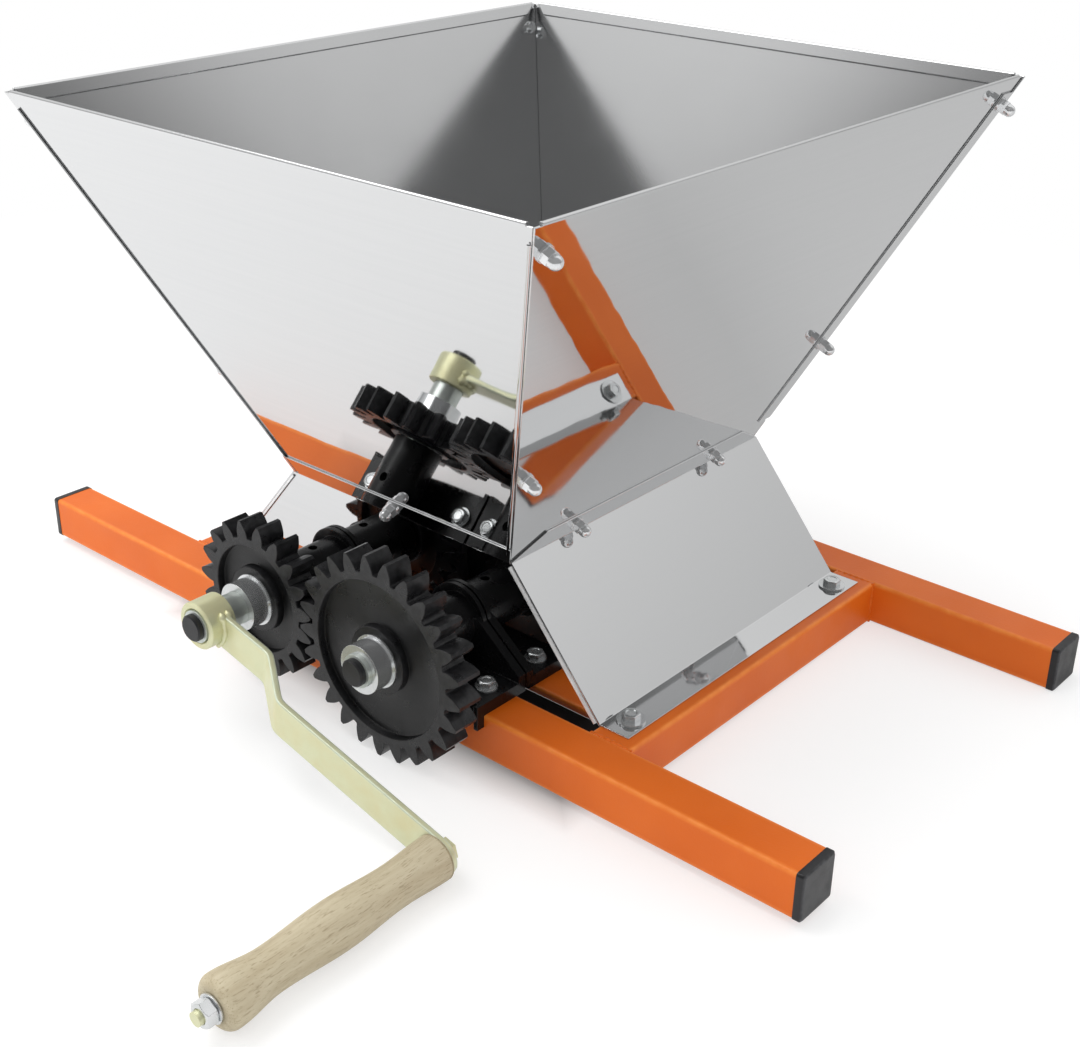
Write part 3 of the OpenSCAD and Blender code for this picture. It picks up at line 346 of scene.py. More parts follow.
caps = []
for beam in ("front_beam", "rear_beam"):
    low, high = (np.array(corner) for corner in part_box(beam))
    centre = (low + high) / 2
    half_side = (high - low)[1] / 2
    caps.append(end_cap(-1, np.array([low[0], *centre[1:]]), half_side))
    caps.append(end_cap(1, np.array([high[0], *centre[1:]]), half_side))
end_caps = skin("moulded_end_caps", [grid for grid, _ in caps], [edge for _, edge in caps])
fit(end_caps, cap_plastic, "frame", "cap_plastic", "beam_end_caps")

# Housing and hopper: folded from 1 mm stainless sheet. The outside is bright as rolled, almost a
# mirror, and the inside of the hopper is a dull satin with fine lines across the panels.
SHEET_EDGE = 0.0006
STEEL = (0.73, 0.735, 0.74, 1)
STEEL_GREY = (0.63, 0.64, 0.65, 1)
ROLLED_ALONG_X = (8.0, 420.0, 420.0)
ROLLED_ALONG_Y = (420.0, 8.0, 420.0)
INSIDE_FROM = 0.2
INSIDE_FULL = 0.3
INSIDE_LINES = 0.3
LINE_GREY = 0.15
LINE_ROUGH = 0.01


def rolled_lines_group():
    """Group that puts out fine lines: noise that is stretched along one axis, by each axis' frequency."""
    tree, given, result = group("rolled_lines", {"Frequency": (20.0, 900.0, 900.0)}, ["Lines"])
    place = node(tree, "TexCoord").outputs["Object"]
    stretched = node(tree, "VectorMath", {0: place, 1: given["Frequency"]}, operation="MULTIPLY").outputs[0]
    feeds = {"Vector": stretched, "Scale": 1.0, "Detail": 4.0, "Roughness": 0.6}
    lines = node(tree, "TexNoise", feeds).outputs[0]
    tree.links.new(ramp(tree, lines, 0.3, 0.7, 0.0, 1.0), result["Lines"])
    return tree


rolled_lines = rolled_lines_group()


def bright_sheet(name, frequency, dull):
    """Stainless sheet, rolled along one axis. Faces that look up are dulled by the given roughness."""
    made, tree, shader = finish(name)
    shader.inputs["Metallic"].default_value = 1.0
    facing = node(tree, "SeparateXYZ", {0: node(tree, "TexCoord").outputs["Normal"]}).outputs["Z"]
    inside = ramp(tree, facing, INSIDE_FROM, INSIDE_FULL, 0.0, 1.0)
    outside = maths(tree, "SUBTRACT", 1.0, inside)
    rolled = node(tree, "Group", {"Frequency": frequency}, node_tree=rolled_lines).outputs["Lines"]
    strong = maths(tree, "ADD", maths(tree, "MULTIPLY", outside, 1 - INSIDE_LINES), INSIDE_LINES)
    lines = maths(tree, "MULTIPLY", rolled, strong)
    bright_rough = noise(tree, slow_drift, size=0.06, low=0.012, high=0.03)
    lined_rough = maths(tree, "ADD", bright_rough, maths(tree, "MULTIPLY", lines, LINE_ROUGH))
    rough = maths(tree, "ADD", lined_rough, maths(tree, "MULTIPLY", inside, dull))
    wave = maths(tree, "MULTIPLY", noise(tree, slow_drift, size=0.14), outside)
    feed(tree, shader,
         Base_Color=between(tree, maths(tree, "MULTIPLY", lines, LINE_GREY), STEEL, STEEL_GREY),
         Roughness=rough,
         Normal=relief(tree, wave, depth=0.0004, strength=0.25, easing=SHEET_EDGE))
    return made


def coat(made, *names):
    """Gives nodes that are carried over their finish."""
    for name in names:
        for slot in nodes[name].material_slots:
            slot.material = made


hopper_side_sheet = bright_sheet("hopper_side_sheet", ROLLED_ALONG_X, dull=0.15)
hopper_end_sheet = bright_sheet("hopper_end_sheet", ROLLED_ALONG_Y, dull=0.15)
housing_side_sheet = bright_sheet("housing_side_sheet", ROLLED_ALONG_X, dull=0.0)
housing_end_sheet = bright_sheet("housing_end_sheet", ROLLED_ALONG_Y, dull=0.03)
coat(hopper_side_sheet, "hopper_front_panel", "hopper_rear_panel")
coat(hopper_end_sheet, "hopper_left_panel", "hopper_right_panel")
coat(housing_side_sheet, "housing_front_plate", "housing_rear_plate")
coat(housing_end_sheet, "housing_left_plate", "housing_right_plate")

# Folded corners: the hopper's front sheet and the housing's front and rear sheets turn round the corners
# in a small bend, and their flanges go on behind the end sheets.
BEND_RADIUS = 0.0018
BEND_WALL = 0.0008
BEND_PROUD = 0.0013
BEND_SWEEP = np.linspace(-0.15, 1.1, 14)[:, None]
HOPPER_BEHIND = 0.0011
HOUSING_BEHIND = 0.0002
THROAT_HALF = np.array([0.0955, 0.1266])
RIM_HALF = np.array([0.2065, 0.2365])
HOPPER_TALL = 0.2476
HOPPER_FOLD_END = 0.955
HOUSING_FOOT_HALF = 0.1662
HOUSING_FACE = 0.1277
HOUSING_TALL = 0.083
HOUSING_FOLD_END = 0.98
# Painted highlight: the pale colour and low metal of the housing's bends.
FOLD_HIGHLIGHT_STEEL = (0.93, 0.93, 0.93, 1)
FOLD_HIGHLIGHT_METAL = 0.35


def fold_highlight_sheet(name):
    """Stainless sheet made pale and matte along a bend, as a painted highlight: it scatters light more than
    it mirrors.
    """
    made, tree, shader = finish(name)
    shader.inputs["Metallic"].default_value = FOLD_HIGHLIGHT_METAL
    feed(tree, shader,
         Base_Color=between(tree, noise(tree, slow_drift, size=0.02), FOLD_HIGHLIGHT_STEEL, STEEL),
         Roughness=noise(tree, slow_drift, size=0.012, low=0.2, high=0.3))
    return made


def fold(foot, top, first, second, behind):
    """Grid of a bend along a corner: part of a pipe's wall, from the outward direction of one sheet to
    that of the next. It stands slightly proud of the first sheet and lies behind the second one."""
    facing = np.array([first, second])
    inset = -np.array([BEND_RADIUS - BEND_PROUD, BEND_RADIUS + behind])
    shift = facing.T @ np.linalg.solve(facing @ facing.T, inset)
    spread = (1 - BEND_SWEEP) * facing[0] + BEND_SWEEP * facing[1]
    spread = spread / np.linalg.norm(spread, axis=1, keepdims=True)
    section = np.concatenate([BEND_RADIUS * spread, (BEND_RADIUS - BEND_WALL) * spread[::-1]])
    return np.array([foot, top])[:, None, :] + shift + section


def hopper_fold(end):
    """Bend of the hopper's front sheet at one end, from its foot to just under the hem."""
    lean = np.arctan((RIM_HALF - THROAT_HALF) / HOPPER_TALL)
    ends = []
    for share in (0.0, HOPPER_FOLD_END):
        half = THROAT_HALF + (RIM_HALF - THROAT_HALF) * share
        ends.append([end * half[0], middle_y - half[1], hopper_foot + HOPPER_TALL * share])
    first = (0, -np.cos(lean[1]), -np.sin(lean[1]))
    second = (end * np.cos(lean[0]), 0, -np.sin(lean[0]))
    return fold(*ends, first, second, HOPPER_BEHIND)


def housing_fold(end, side):
    """Bend of the housing's front or rear sheet at one end, from just over the frame to the lip."""
    spread = HOUSING_FOOT_HALF - THROAT_HALF[0]
    lean = np.arctan(spread / HOUSING_TALL)
    ends = []
    for share in (1 - HOUSING_FOLD_END, HOUSING_FOLD_END):
        x = end * (HOUSING_FOOT_HALF - spread * share)
        ends.append([x, middle_y + side * HOUSING_FACE, hopper_foot - HOUSING_TALL * (1 - share)])
    return fold(*ends, (0, side, 0), (end * np.cos(lean), 0, np.sin(lean)), HOUSING_BEHIND)


tube_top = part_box("left_cross_tube")[1].z
middle_y = joint_at["crank_spin"][1]
hopper_foot = tube_top + HOUSING_TALL
hopper_folds = skin("hopper_folds", [hopper_fold(end) for end in (-1, 1)])
fit(hopper_folds, hopper_side_sheet, "frame", "stainless")
# The housing's bends are pale and matte, a painted highlight along each bend.
housing_folds = skin("housing_folds", [housing_fold(end, side) for end in (-1, 1) for side in (-1, 1)])
fit(housing_folds, fold_highlight_sheet("rubbed_fold"), "frame", "stainless")

# Hopper fasteners: round-head screws from inside, with washers and cap nuts outside, in bright zinc.
# The same plating is on the other bolts and washers.
BRIGHT_ZINC = (0.88, 0.89, 0.90, 1)
ZINC = (0.76, 0.77, 0.78, 1)
ZINC_DULL = (0.66, 0.68, 0.68, 1)


def zinc_finish(name, fresh, dull, rough_low, rough_high, metallic, easing):
    """Zinc plate: pale metal with cloudy patches between two colours, and slightly uneven gloss."""
    made, tree, shader = finish(name)
    shader.inputs["Metallic"].default_value = metallic
    feed(tree, shader,
         Base_Color=between(tree, noise(tree, slow_drift, size=0.02), fresh, dull),
         Roughness=noise(tree, slow_drift, 0.012, rough_low, rough_high),
         Normal=relief(tree, noise(tree, fine_grain, size=0.0012), 0.00002, 0.08, easing))
    return made


zinc_plate = zinc_finish(
    "zinc_plate", ZINC, ZINC_DULL, rough_low=0.14, rough_high=0.22, metallic=0.8, easing=0.0003)
bright_zinc = zinc_finish(
    "bright_zinc", BRIGHT_ZINC, ZINC, rough_low=0.12, rough_high=0.2, metallic=0.7, easing=0.00015)
coat(zinc_plate, "corner_screws", "lip_screws")
coat(bright_zinc, "corner_washers", "corner_cap_nuts", "lip_washers", "lip_cap_nuts")

# Hexagon bolts: they hold the housing's feet to the cross tubes and the bearings to the beams. The
# heads are chamfered, with a dished top.
BOLT_FLATS = 0.010
BOLT_HEAD = 0.004
BOLT_RADIUS = 0.003
BOLT_REACH = 0.014
WASHER = 0.0012
SHEET = 0.001
FOOT_BOLT_X = 0.1772
FOOT_BOLT_Y = 0.1112
BEARING_BASE = 0.008
BEARING_BOLTS_X = (-0.097, -0.013, 0.013, 0.097)
BOLT_DISH = 0.0004
HEX_BEVEL = 0.475
CHAMFER_SLOPE = np.tan(np.radians(30))


def hexagon(flats, points=48):
    """Angles round a hexagon, and its radius at each: half the width over the flats, divided by the
    cosine of the angle from the flat."""
    turn = np.linspace(0, 2 * np.pi, points, endpoint=False)
    from_flat = np.mod(turn + np.pi / 6, np.pi / 3) - np.pi / 6
    return turn, flats / 2 / np.cos(from_flat)


def hex_rows(flats, base, height, dish):
    """Rows of a chamfered hexagon: radius and height at each angle, from its foot to its dished top."""
    turn, corner = hexagon(flats)
    flat = 0 * turn
    bevel = flats * HEX_BEVEL
    top = base + height
    rows = [
        (corner, flat + base),
        (corner, top - np.maximum(corner - bevel, 0) * CHAMFER_SLOPE),
        (flat + bevel, flat + top),
        (flat + bevel * 0.72, flat + top),
        (flat + bevel * 0.62, flat + top - dish),
        (flat + bevel * 0.1, flat + top - dish),
    ]
    return turn, rows


def stand(turn, rows, place):
    """Grid of rows that stand upright at a place: radius and angle give X and Y, and height gives Z."""
    radius = np.stack([row for row, _ in rows])
    height = np.stack([row for _, row in rows])
    return np.stack([radius * np.cos(turn), radius * np.sin(turn), height], axis=-1) + place


def hex_bolt(place):
    """Grid of a bolt at the foot of its head: its shank below, and its head above."""
    turn, head = hex_rows(BOLT_FLATS, 0, BOLT_HEAD, BOLT_DISH)
    shank = [(BOLT_RADIUS + 0 * turn, 0 * turn - BOLT_REACH), (BOLT_RADIUS + 0 * turn, 0 * turn)]
    return stand(turn, shank + head, place)


foot_bolts = skin("foot_bolts", [
    hex_bolt(np.array([x * FOOT_BOLT_X, middle_y + y * FOOT_BOLT_Y, tube_top + SHEET + WASHER]))
    for x in (-1, 1) for y in (-1, 1)])
fit(foot_bolts, zinc_plate, "frame", "zinc", "housing_foot_bolts")
beam_middles = [sum(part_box(beam), Vector()).y / 2 for beam in ("front_beam", "rear_beam")]
base_bolts = skin("base_bolts", [
    hex_bolt(np.array([x, y, tube_top + BEARING_BASE + WASHER]))
    for x in BEARING_BOLTS_X for y in beam_middles])
fit(base_bolts, zinc_plate, "frame", "zinc", "bearing_bolts")
coat(zinc_plate, "housing_foot_washers", "bearing_washers")

# Bearings: one black nylon block for each end of each shaft, moulded with a sloping web, a dished ring
# round a nose with an oil hole, and a skirt that hooks over the beam.
NYLON = (0.003, 0.003, 0.0034, 1)
NYLON_RUB_AND_HIGHLIGHT = (0.03, 0.03, 0.032, 1)
bearing_nylon = moulded_black(
    "bearing_nylon", NYLON, NYLON_RUB_AND_HIGHLIGHT,
    rough_low=0.24, rough_high=0.34, grain=0.0008, gloss=0.4, easing=0.0006)
coat(bearing_nylon, "front_left_bearing", "front_right_bearing", "rear_left_bearing", "rear_right_bearing")

# Shafts and rollers: two lengths of steel pipe, dull zinc plated, run through the bearings. Each carries
# a ribbed black roller on cross pins, and black plugs close the pipe's ends.
ROLLER = (0.022, 0.022, 0.024, 1)
PIPE_ZINC = (0.66, 0.70, 0.66, 1)
PIPE_ZINC_DULL = (0.54, 0.58, 0.55, 1)
dull_zinc = zinc_finish(
    "dull_zinc", PIPE_ZINC, PIPE_ZINC_DULL, rough_low=0.30, rough_high=0.42, metallic=0.75, easing=0.0004)
roller_plastic = moulded_black(
    "roller_plastic", ROLLER, CAP_RUB_AND_HIGHLIGHT, rough_low=0.40, rough_high=0.55, grain=0.0012)
coat(dull_zinc, "drive_shaft", "driven_shaft", "drive_roller_pins", "driven_roller_pins")
coat(roller_plastic, "drive_roller", "driven_roller")
coat(cap_plastic, "drive_shaft_plugs", "driven_shaft_plugs")

# Gears: black nylon, 19 teeth on the drive shaft and 25 on the other, with straight involute teeth of
# module 5. A dished web joins the toothed rim to the hub.
DRIVE_TEETH = 19
DRIVEN_TEETH = 25
GEAR_MODULE = 0.005
PRESSURE = np.radians(25)
BACKLASH = 0.0005
TOOTH_ROOT = 1.25
GEAR_WEB = 0.007
GEAR_RIM = 0.0052
GEAR_HUB = 0.0217
GEAR_BORE = 0.0157
GEAR_CHAMFER = 0.0003
GEAR_BEVEL = 0.0004
WEB_FILLET = 0.0007
ROOT_FILLET = 0.0012
FLANK_POINTS = 6
MESH_TURN = np.radians(2.5)


def involute(base, radius):
    """Angle that the involute of a base circle has turned through at a radius: the tangent of the pressure
    angle there, less that angle."""
    slope = np.sqrt(np.maximum((radius / base) ** 2 - 1, 0))
    return slope - np.arctan(slope)


def gear_outline(teeth, first, inset):
    """Radius and angle of the points round a gear. Each tooth has both flanks, from root to tip and back,
    with a quarter round at its foot, and inset takes a skin of that thickness off it. The first tooth is
    at the given angle."""
    pitch = GEAR_MODULE * teeth / 2
    base = pitch * np.cos(PRESSURE)
    root = pitch - TOOTH_ROOT * GEAR_MODULE - inset
    tip = pitch + GEAR_MODULE - inset
    foot = np.linspace(0, np.pi / 2, 4)
    flank = np.linspace(max(base, root + ROOT_FILLET), tip, FLANK_POINTS)
    rise = np.concatenate([root + ROOT_FILLET * (1 - np.cos(foot)), flank])
    spread = np.concatenate([ROOT_FILLET * (1 - np.sin(foot)), np.zeros(FLANK_POINTS)]) - inset
    half_at_base = np.pi / 2 / teeth - BACKLASH / 4 / pitch + involute(base, pitch)
    half = half_at_base - involute(base, rise) + spread / rise
    radius = np.concatenate([rise, rise[::-1], [root]])
    angle = np.concatenate([-half, half[::-1], [np.pi / teeth]])
    starts = first + np.arange(teeth) * 2 * np.pi / teeth
    return np.tile(radius, teeth), (starts[:, None] + angle).ravel()


def gear_grid(teeth, first, centre, back_y, front_y):
    """Grid of a gear. Rows go from the front of the bore over the hub, the web, the rim and the teeth to
    the back, and return the same way. Circles use the angles of the toothed outline, so that the columns
    line up."""
    tooth_r, angle = gear_outline(teeth, first, 0)
    inset_r, inset_angle = gear_outline(teeth, first, GEAR_CHAMFER)
    width = abs(back_y - front_y)
    dish = (width - GEAR_WEB) / 2
    rim = GEAR_MODULE * (teeth / 2 - TOOTH_ROOT) - GEAR_RIM
    # Each row gives a radius, a depth and how much it is painted paler; the bevels and chamfers are paler,
    # partly for rubbing and partly as a painted highlight.
    face = [
        (GEAR_BORE, 0, 0),
        (GEAR_HUB - GEAR_BEVEL, 0, 0.2),
        (GEAR_HUB, GEAR_BEVEL, 1),
        (GEAR_HUB, dish - WEB_FILLET, 0),
        (GEAR_HUB + 0.3 * WEB_FILLET, dish - 0.3 * WEB_FILLET, 0),
        (GEAR_HUB + WEB_FILLET, dish, 0),
        (rim - 2 * WEB_FILLET, dish, 0),
        (rim - 0.6 * WEB_FILLET, dish - 0.6 * WEB_FILLET, 0),
        (rim, dish - 2 * WEB_FILLET, 0),
        (rim, GEAR_BEVEL, 1),
        (rim + GEAR_BEVEL, 0, 0.6),
    ]
    circle = np.ones_like(tooth_r)
    rows = [(r * circle, angle, depth, edge_mark) for r, depth, edge_mark in face]
    rows.append((inset_r, inset_angle, 0, 0.7))
    rows.append((tooth_r, angle, GEAR_CHAMFER, 0.8))
    rows += [(r, turn, width - depth, edge_mark) for r, turn, depth, edge_mark in rows[::-1]]
    radius = np.stack([row[0] for row in rows])
    turned = np.stack([row[1] for row in rows])
    depth = np.array([row[2] for row in rows])[:, None]
    y = front_y + (back_y - front_y) / width * depth + 0 * radius
    grid = np.stack([centre[0] + radius * np.cos(turned), y, centre[2] + radius * np.sin(turned)], axis=-1)
    return grid, np.stack([row[3] * circle for row in rows])


drive_first = np.pi / DRIVE_TEETH - MESH_TURN * DRIVEN_TEETH / DRIVE_TEETH
gears = (
    ("drive_gear", "crank", "crank_spin", DRIVE_TEETH, drive_first),
    ("driven_gear", "follower", "follower_spin", DRIVEN_TEETH, np.pi + MESH_TURN),
)
# The gears' bevels and chamfers are painted paler, partly for rubbing and partly as a painted highlight.
gear_nylon = moulded_black(
    "gear_nylon", NYLON, NYLON_RUB_AND_HIGHLIGHT, rough_low=0.26, rough_high=0.36, grain=0.0008, gloss=0.34)
for name, body, joint, teeth, first in gears:
    low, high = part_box(name)
    toothed, rub_and_highlight = gear_grid(teeth, first, joint_at[joint], high.y, low.y)
    fit(skin("moulded_" + name, [toothed], [rub_and_highlight], "loop"), gear_nylon, body, "black_nylon", name)

# Gear collars: turned steel rings with a shoulder, zinc plated, that pass through the gears' hubs and
# grip the shafts with a set screw.
coat(zinc_plate, "drive_gear_collar", "driven_gear_collar", "drive_gear_screw", "driven_gear_screw")

# Crank boss: a short thick ring, turned from steel, that a set screw holds on the drive shaft. It is
# yellow passivated together with the arm that is welded to it.
BOSS_RADIUS = 0.0155
BOSS_BORE = 0.01075
BOSS_BEVEL = 0.0007
BOSS_MOUTH = 0.0118
BOSS_MOUTH_DEPTH = 0.0016
BOSS_MOUTH_EDGE = 0.0004
PASSIVATE_METAL = 0.45
PASSIVATE = (0.72, 0.73, 0.48, 1)
PASSIVATE_BROWN = (0.70, 0.63, 0.34, 1)
PASSIVATE_GREEN = (0.66, 0.73, 0.60, 1)


def passivate_finish():
    """Yellow passivated zinc: pale yellow metal that drifts to brown, and is grey green along its edges."""
    made, tree, shader = finish("yellow_passivate")
    shader.inputs["Metallic"].default_value = PASSIVATE_METAL
    warm = between(tree, noise(tree, slow_drift, size=0.05), PASSIVATE, PASSIVATE_BROWN)
    streaked = between(tree, noise(tree, slow_drift, size=0.018, high=0.6), PASSIVATE, warm)
    edge_mark = node(tree, "Group", {"Size": 0.01, "Keep": 0.5}, node_tree=worn_edges).outputs["Mask"]
    feed(tree, shader,
         Base_Color=between(tree, edge_mark, streaked, PASSIVATE_GREEN),
         Roughness=noise(tree, slow_drift, size=0.01, low=0.34, high=0.46),
         Normal=relief(tree, noise(tree, fine_grain, size=0.0012), depth=0.00006, strength=0.6))
    return made


def turned(rows, centre, segments=72):
    """Grid of a piece turned about an axis along Y. Each row gives a radius, which is the same all round
    or one for each angle, and a place along Y."""
    turn = np.linspace(0, 2 * np.pi, segments, endpoint=False)
    radius = np.stack([row[0] + 0 * turn for row in rows])
    y = np.stack([row[1] + 0 * turn for row in rows])
    return np.stack([centre[0] + radius * np.cos(turn), y, centre[2] + radius * np.sin(turn)], axis=-1)


yellow_passivate = passivate_finish()
boss_low, boss_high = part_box("crank_boss")
boss_rows = (
    (BOSS_BORE, boss_low.y + BOSS_MOUTH_DEPTH),
    (BOSS_MOUTH, boss_low.y + BOSS_MOUTH_EDGE),
    (BOSS_MOUTH, boss_low.y),
    (BOSS_RADIUS - BOSS_BEVEL, boss_low.y),
    (BOSS_RADIUS, boss_low.y + BOSS_BEVEL),
    (BOSS_RADIUS, boss_high.y - BOSS_BEVEL),
    (BOSS_RADIUS - BOSS_BEVEL, boss_high.y),
    (BOSS_BORE, boss_high.y),
)
boss = skin("turned_boss", [turned(boss_rows, joint_at["crank_spin"])], ends="loop")
fit(boss, yellow_passivate, "crank", "yellow_zinc", "crank_boss")
coat(zinc_plate, "crank_boss_screw")

# Crank arm: a flat steel bar, bent twice so that it steps clear of the large gear. One end is cut to the
# round of the boss and welded to it, and the other is rounded off, with a hole for the handle's bolt.
CRANK_ANGLE = np.radians(-14)
THROW = 0.222
ARM_HALF = 0.012
ARM_THICK = 0.004
ARM_ROUND = 0.0008
ARM_LEAD = 0.0011
ARM_NEAR = -0.086
ARM_STEP = 0.0225
STEP_START = 0.054
STEP_END = 0.088
BEND_SOFTNESS = 0.0016
ARM_SINK = 0.0003
WELD_RADIUS = 0.0016
WELD_POINTS = 16
WELD_SWEEP = 1.08
WELD_STANDOFF = 0.4
WELD_CLEAR = 0.0002
BLOB_AT = 0.72
BLOB_WIDE = 0.2
BLOB_SWELL = 0.8


def soft_ramp(distance):
    """Ramp that is level up to 0 and rises one for one after it, with its corner softened."""
    return BEND_SOFTNESS * np.logaddexp(0, distance / BEND_SOFTNESS)


def arm_line(along):
    """Place along Y of the bar's middle: level, a straight step between two softened bends, and level."""
    share = (soft_ramp(along - STEP_START) - soft_ramp(along - STEP_END)) / (STEP_END - STEP_START)
    return ARM_NEAR + ARM_THICK / 2 - ARM_STEP * share


def arm_grid(centre):
    """Grid of the bar: a flat section with rounded corners, carried along its bent middle line and square
    to it. The first row follows the boss, and the last rows narrow along a half circle. Also gives nearness
    to an edge."""
    rounding = np.linspace(0, np.pi / 2, 16)[:-1]
    end_half = np.maximum(ARM_HALF * np.cos(rounding), ARM_ROUND * 1.2)
    straight = np.concatenate([[0.0, 0.022, 0.04], np.linspace(0.046, 0.097, 46), [0.12, 0.17]])
    along = np.concatenate([straight, THROW + ARM_HALF * np.sin(rounding)])[:, None]
    half = np.concatenate([straight * 0 + ARM_HALF, end_half])[:, None]
    sweep = np.radians([0, 0, 30, 60, 90, 90])
    turn = (sweep + np.arange(4)[:, None] * np.pi / 2).ravel()
    lead = np.tile([-ARM_LEAD, 0, 0, 0, 0, ARM_LEAD], 4)
    right = np.repeat([1, -1, -1, 1], 6)
    upper = np.repeat([1, 1, -1, -1], 6)
    across = right * (half - ARM_ROUND) + ARM_ROUND * np.cos(turn) - lead * np.sin(turn) * half / ARM_HALF
    through = upper * (ARM_THICK / 2 - ARM_ROUND) + ARM_ROUND * np.sin(turn) + lead * np.cos(turn)
    slope = np.gradient(arm_line(along[:, 0]), along[:, 0])[:, None]
    square = 1 / np.sqrt(1 + slope ** 2)
    place = along - through * slope * square
    place[0] = np.sqrt((BOSS_RADIUS - ARM_SINK) ** 2 - across[0] ** 2)
    y = arm_line(along) + through * square
    x = centre[0] + place * np.cos(CRANK_ANGLE) - across * np.sin(CRANK_ANGLE)
    z = centre[2] + place * np.sin(CRANK_ANGLE) + across * np.cos(CRANK_ANGLE)
    near = np.tile([0, 0.5, 1, 1, 0.5, 0], 4) + 0 * half
    return np.stack([x, y, z], axis=-1), near


def boss_weld(y):
    """Bead on the arc where one face of the bar meets the boss. It is lumpy, thickest at its upper end, and
    thins out at both ends."""
    share = np.linspace(-1, 1, 96)
    sweep = CRANK_ANGLE + share * WELD_SWEEP * np.arcsin(ARM_HALF / BOSS_RADIUS)
    outward = np.stack([np.cos(sweep), 0 * sweep, np.sin(sweep)], axis=1)
    path = joint_at["crank_spin"] + outward * (BOSS_RADIUS + WELD_STANDOFF * WELD_RADIUS)
    path[:, 1] = y
    blob = np.exp(-((share - BLOB_AT) / BLOB_WIDE) ** 2)
    lumps = 1 + 0.15 * np.sin(6 * share + 1) + 0.06 * np.sin(19 * share) + BLOB_SWELL * blob
    thin = np.clip(7 * (1 - np.abs(share)), 0.12, 1)
    grid = bead(path, WELD_RADIUS * lumps * thin, outward, ripple=0.04, round_points=WELD_POINTS)
    turn = np.linspace(0, 2 * np.pi, WELD_POINTS, endpoint=False)
    wobble = 1 + 0.06 * np.sin(2 * turn + 13 * share[:, None])
    return path[:, None, :] + (grid - path[:, None, :]) * wobble[:, :, None]


bar, bar_edge = arm_grid(joint_at["crank_spin"])
fit(skin("bent_arm", [bar], [bar_edge]), yellow_passivate, "crank", "yellow_zinc", "crank_arm")
weld_grids = [boss_weld(ARM_NEAR - WELD_CLEAR), boss_weld(ARM_NEAR + ARM_THICK + WELD_CLEAR)]
crank_weld = skin("crank_weld", weld_grids, smooth=80)
fit(crank_weld, yellow_passivate, "crank", "yellow_zinc")

# Handle: a beech grip, turned with two waists and a swell, that spins on a long bolt. A washer and a
# chamfered nut hold it.
GRIP_BORE = 0.00408
GRIP_RADII = np.array([0.0138, 0.0124, 0.0143, 0.0124, 0.0154])
GRIP_WAISTS = np.array([0.21, 0.48, 0.77])
GRIP_END = 0.0096
GRIP_NEAR_ROUND = 0.0012
NUT_FLATS = 0.013
NUT_BORE = 0.0041
NUT_MOUTH = NUT_BORE * 1.12
NUT_MOUTH_DEPTH = 0.0005
BEECH_BANDS = (240.0, 9.0, 240.0)
BEECH_FLECKS = (1300.0, 130.0, 1300.0)
BEECH = (0.585, 0.515, 0.36, 1)
BEECH_DARK = (0.47, 0.395, 0.26, 1)
BEECH_FLECK = (0.34, 0.27, 0.165, 1)


def beech_finish():
    """Sanded beech: bands along the grain, with short dark flecks that are stretched the same way."""
    made, tree, shader = finish("beech_wood")
    bands = node(tree, "Group", {"Frequency": BEECH_BANDS}, node_tree=rolled_lines).outputs["Lines"]
    flecks = node(tree, "Group", {"Frequency": BEECH_FLECKS}, node_tree=rolled_lines).outputs["Lines"]
    marks = ramp(tree, flecks, 0.62, 0.86, 0.0, 0.75)
    wood = between(tree, bands, BEECH, BEECH_DARK)
    feed(tree, shader,
         Base_Color=between(tree, marks, wood, BEECH_FLECK),
         Roughness=noise(tree, slow_drift, size=0.01, low=0.52, high=0.66),
         Normal=relief(tree, marks, depth=0.00012, strength=0.5))
    return made


def grip_profile(near_y, far_y):
    """Radius and place along Y of the grip's outline. Between its stations the radius eases along half a
    cosine, and the far end is a quarter round."""
    length = near_y - far_y
    end_round = GRIP_RADII[-1] - GRIP_END
    stations = np.concatenate([[0], GRIP_WAISTS * length, [length - end_round]])
    along = np.linspace(GRIP_NEAR_ROUND, length - end_round, 72)
    place = np.interp(along, stations, np.arange(5))
    before = np.minimum(place.astype(int), 3)
    eased = (1 - np.cos(np.pi * (place - before))) / 2
    radius = GRIP_RADII[before] + (GRIP_RADII[before + 1] - GRIP_RADII[before]) * eased
    sweep = np.linspace(0, np.pi / 2, 10)[1:]
    near = GRIP_NEAR_ROUND * np.cos(sweep[::-1])
    radii = np.concatenate([
        [GRIP_BORE], GRIP_RADII[0] - near, radius, GRIP_END + end_round * np.cos(sweep), [GRIP_BORE]])
    near_places = GRIP_NEAR_ROUND * (1 - np.sin(sweep[::-1]))
    far_places = length - end_round + end_round * np.sin(sweep)
    places = np.concatenate([[0], near_places, along, far_places, [length]])
    return list(zip(radii, near_y - places))


beech_wood = beech_finish()
grip_low, grip_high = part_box("handle_grip")
grip_rows = grip_profile(grip_high.y, grip_low.y)
grip = skin("turned_grip", [turned(grip_rows, joint_at["grip_spin"])], ends="loop", smooth=50)
fit(grip, beech_wood, "grip", "beech", "handle_grip")

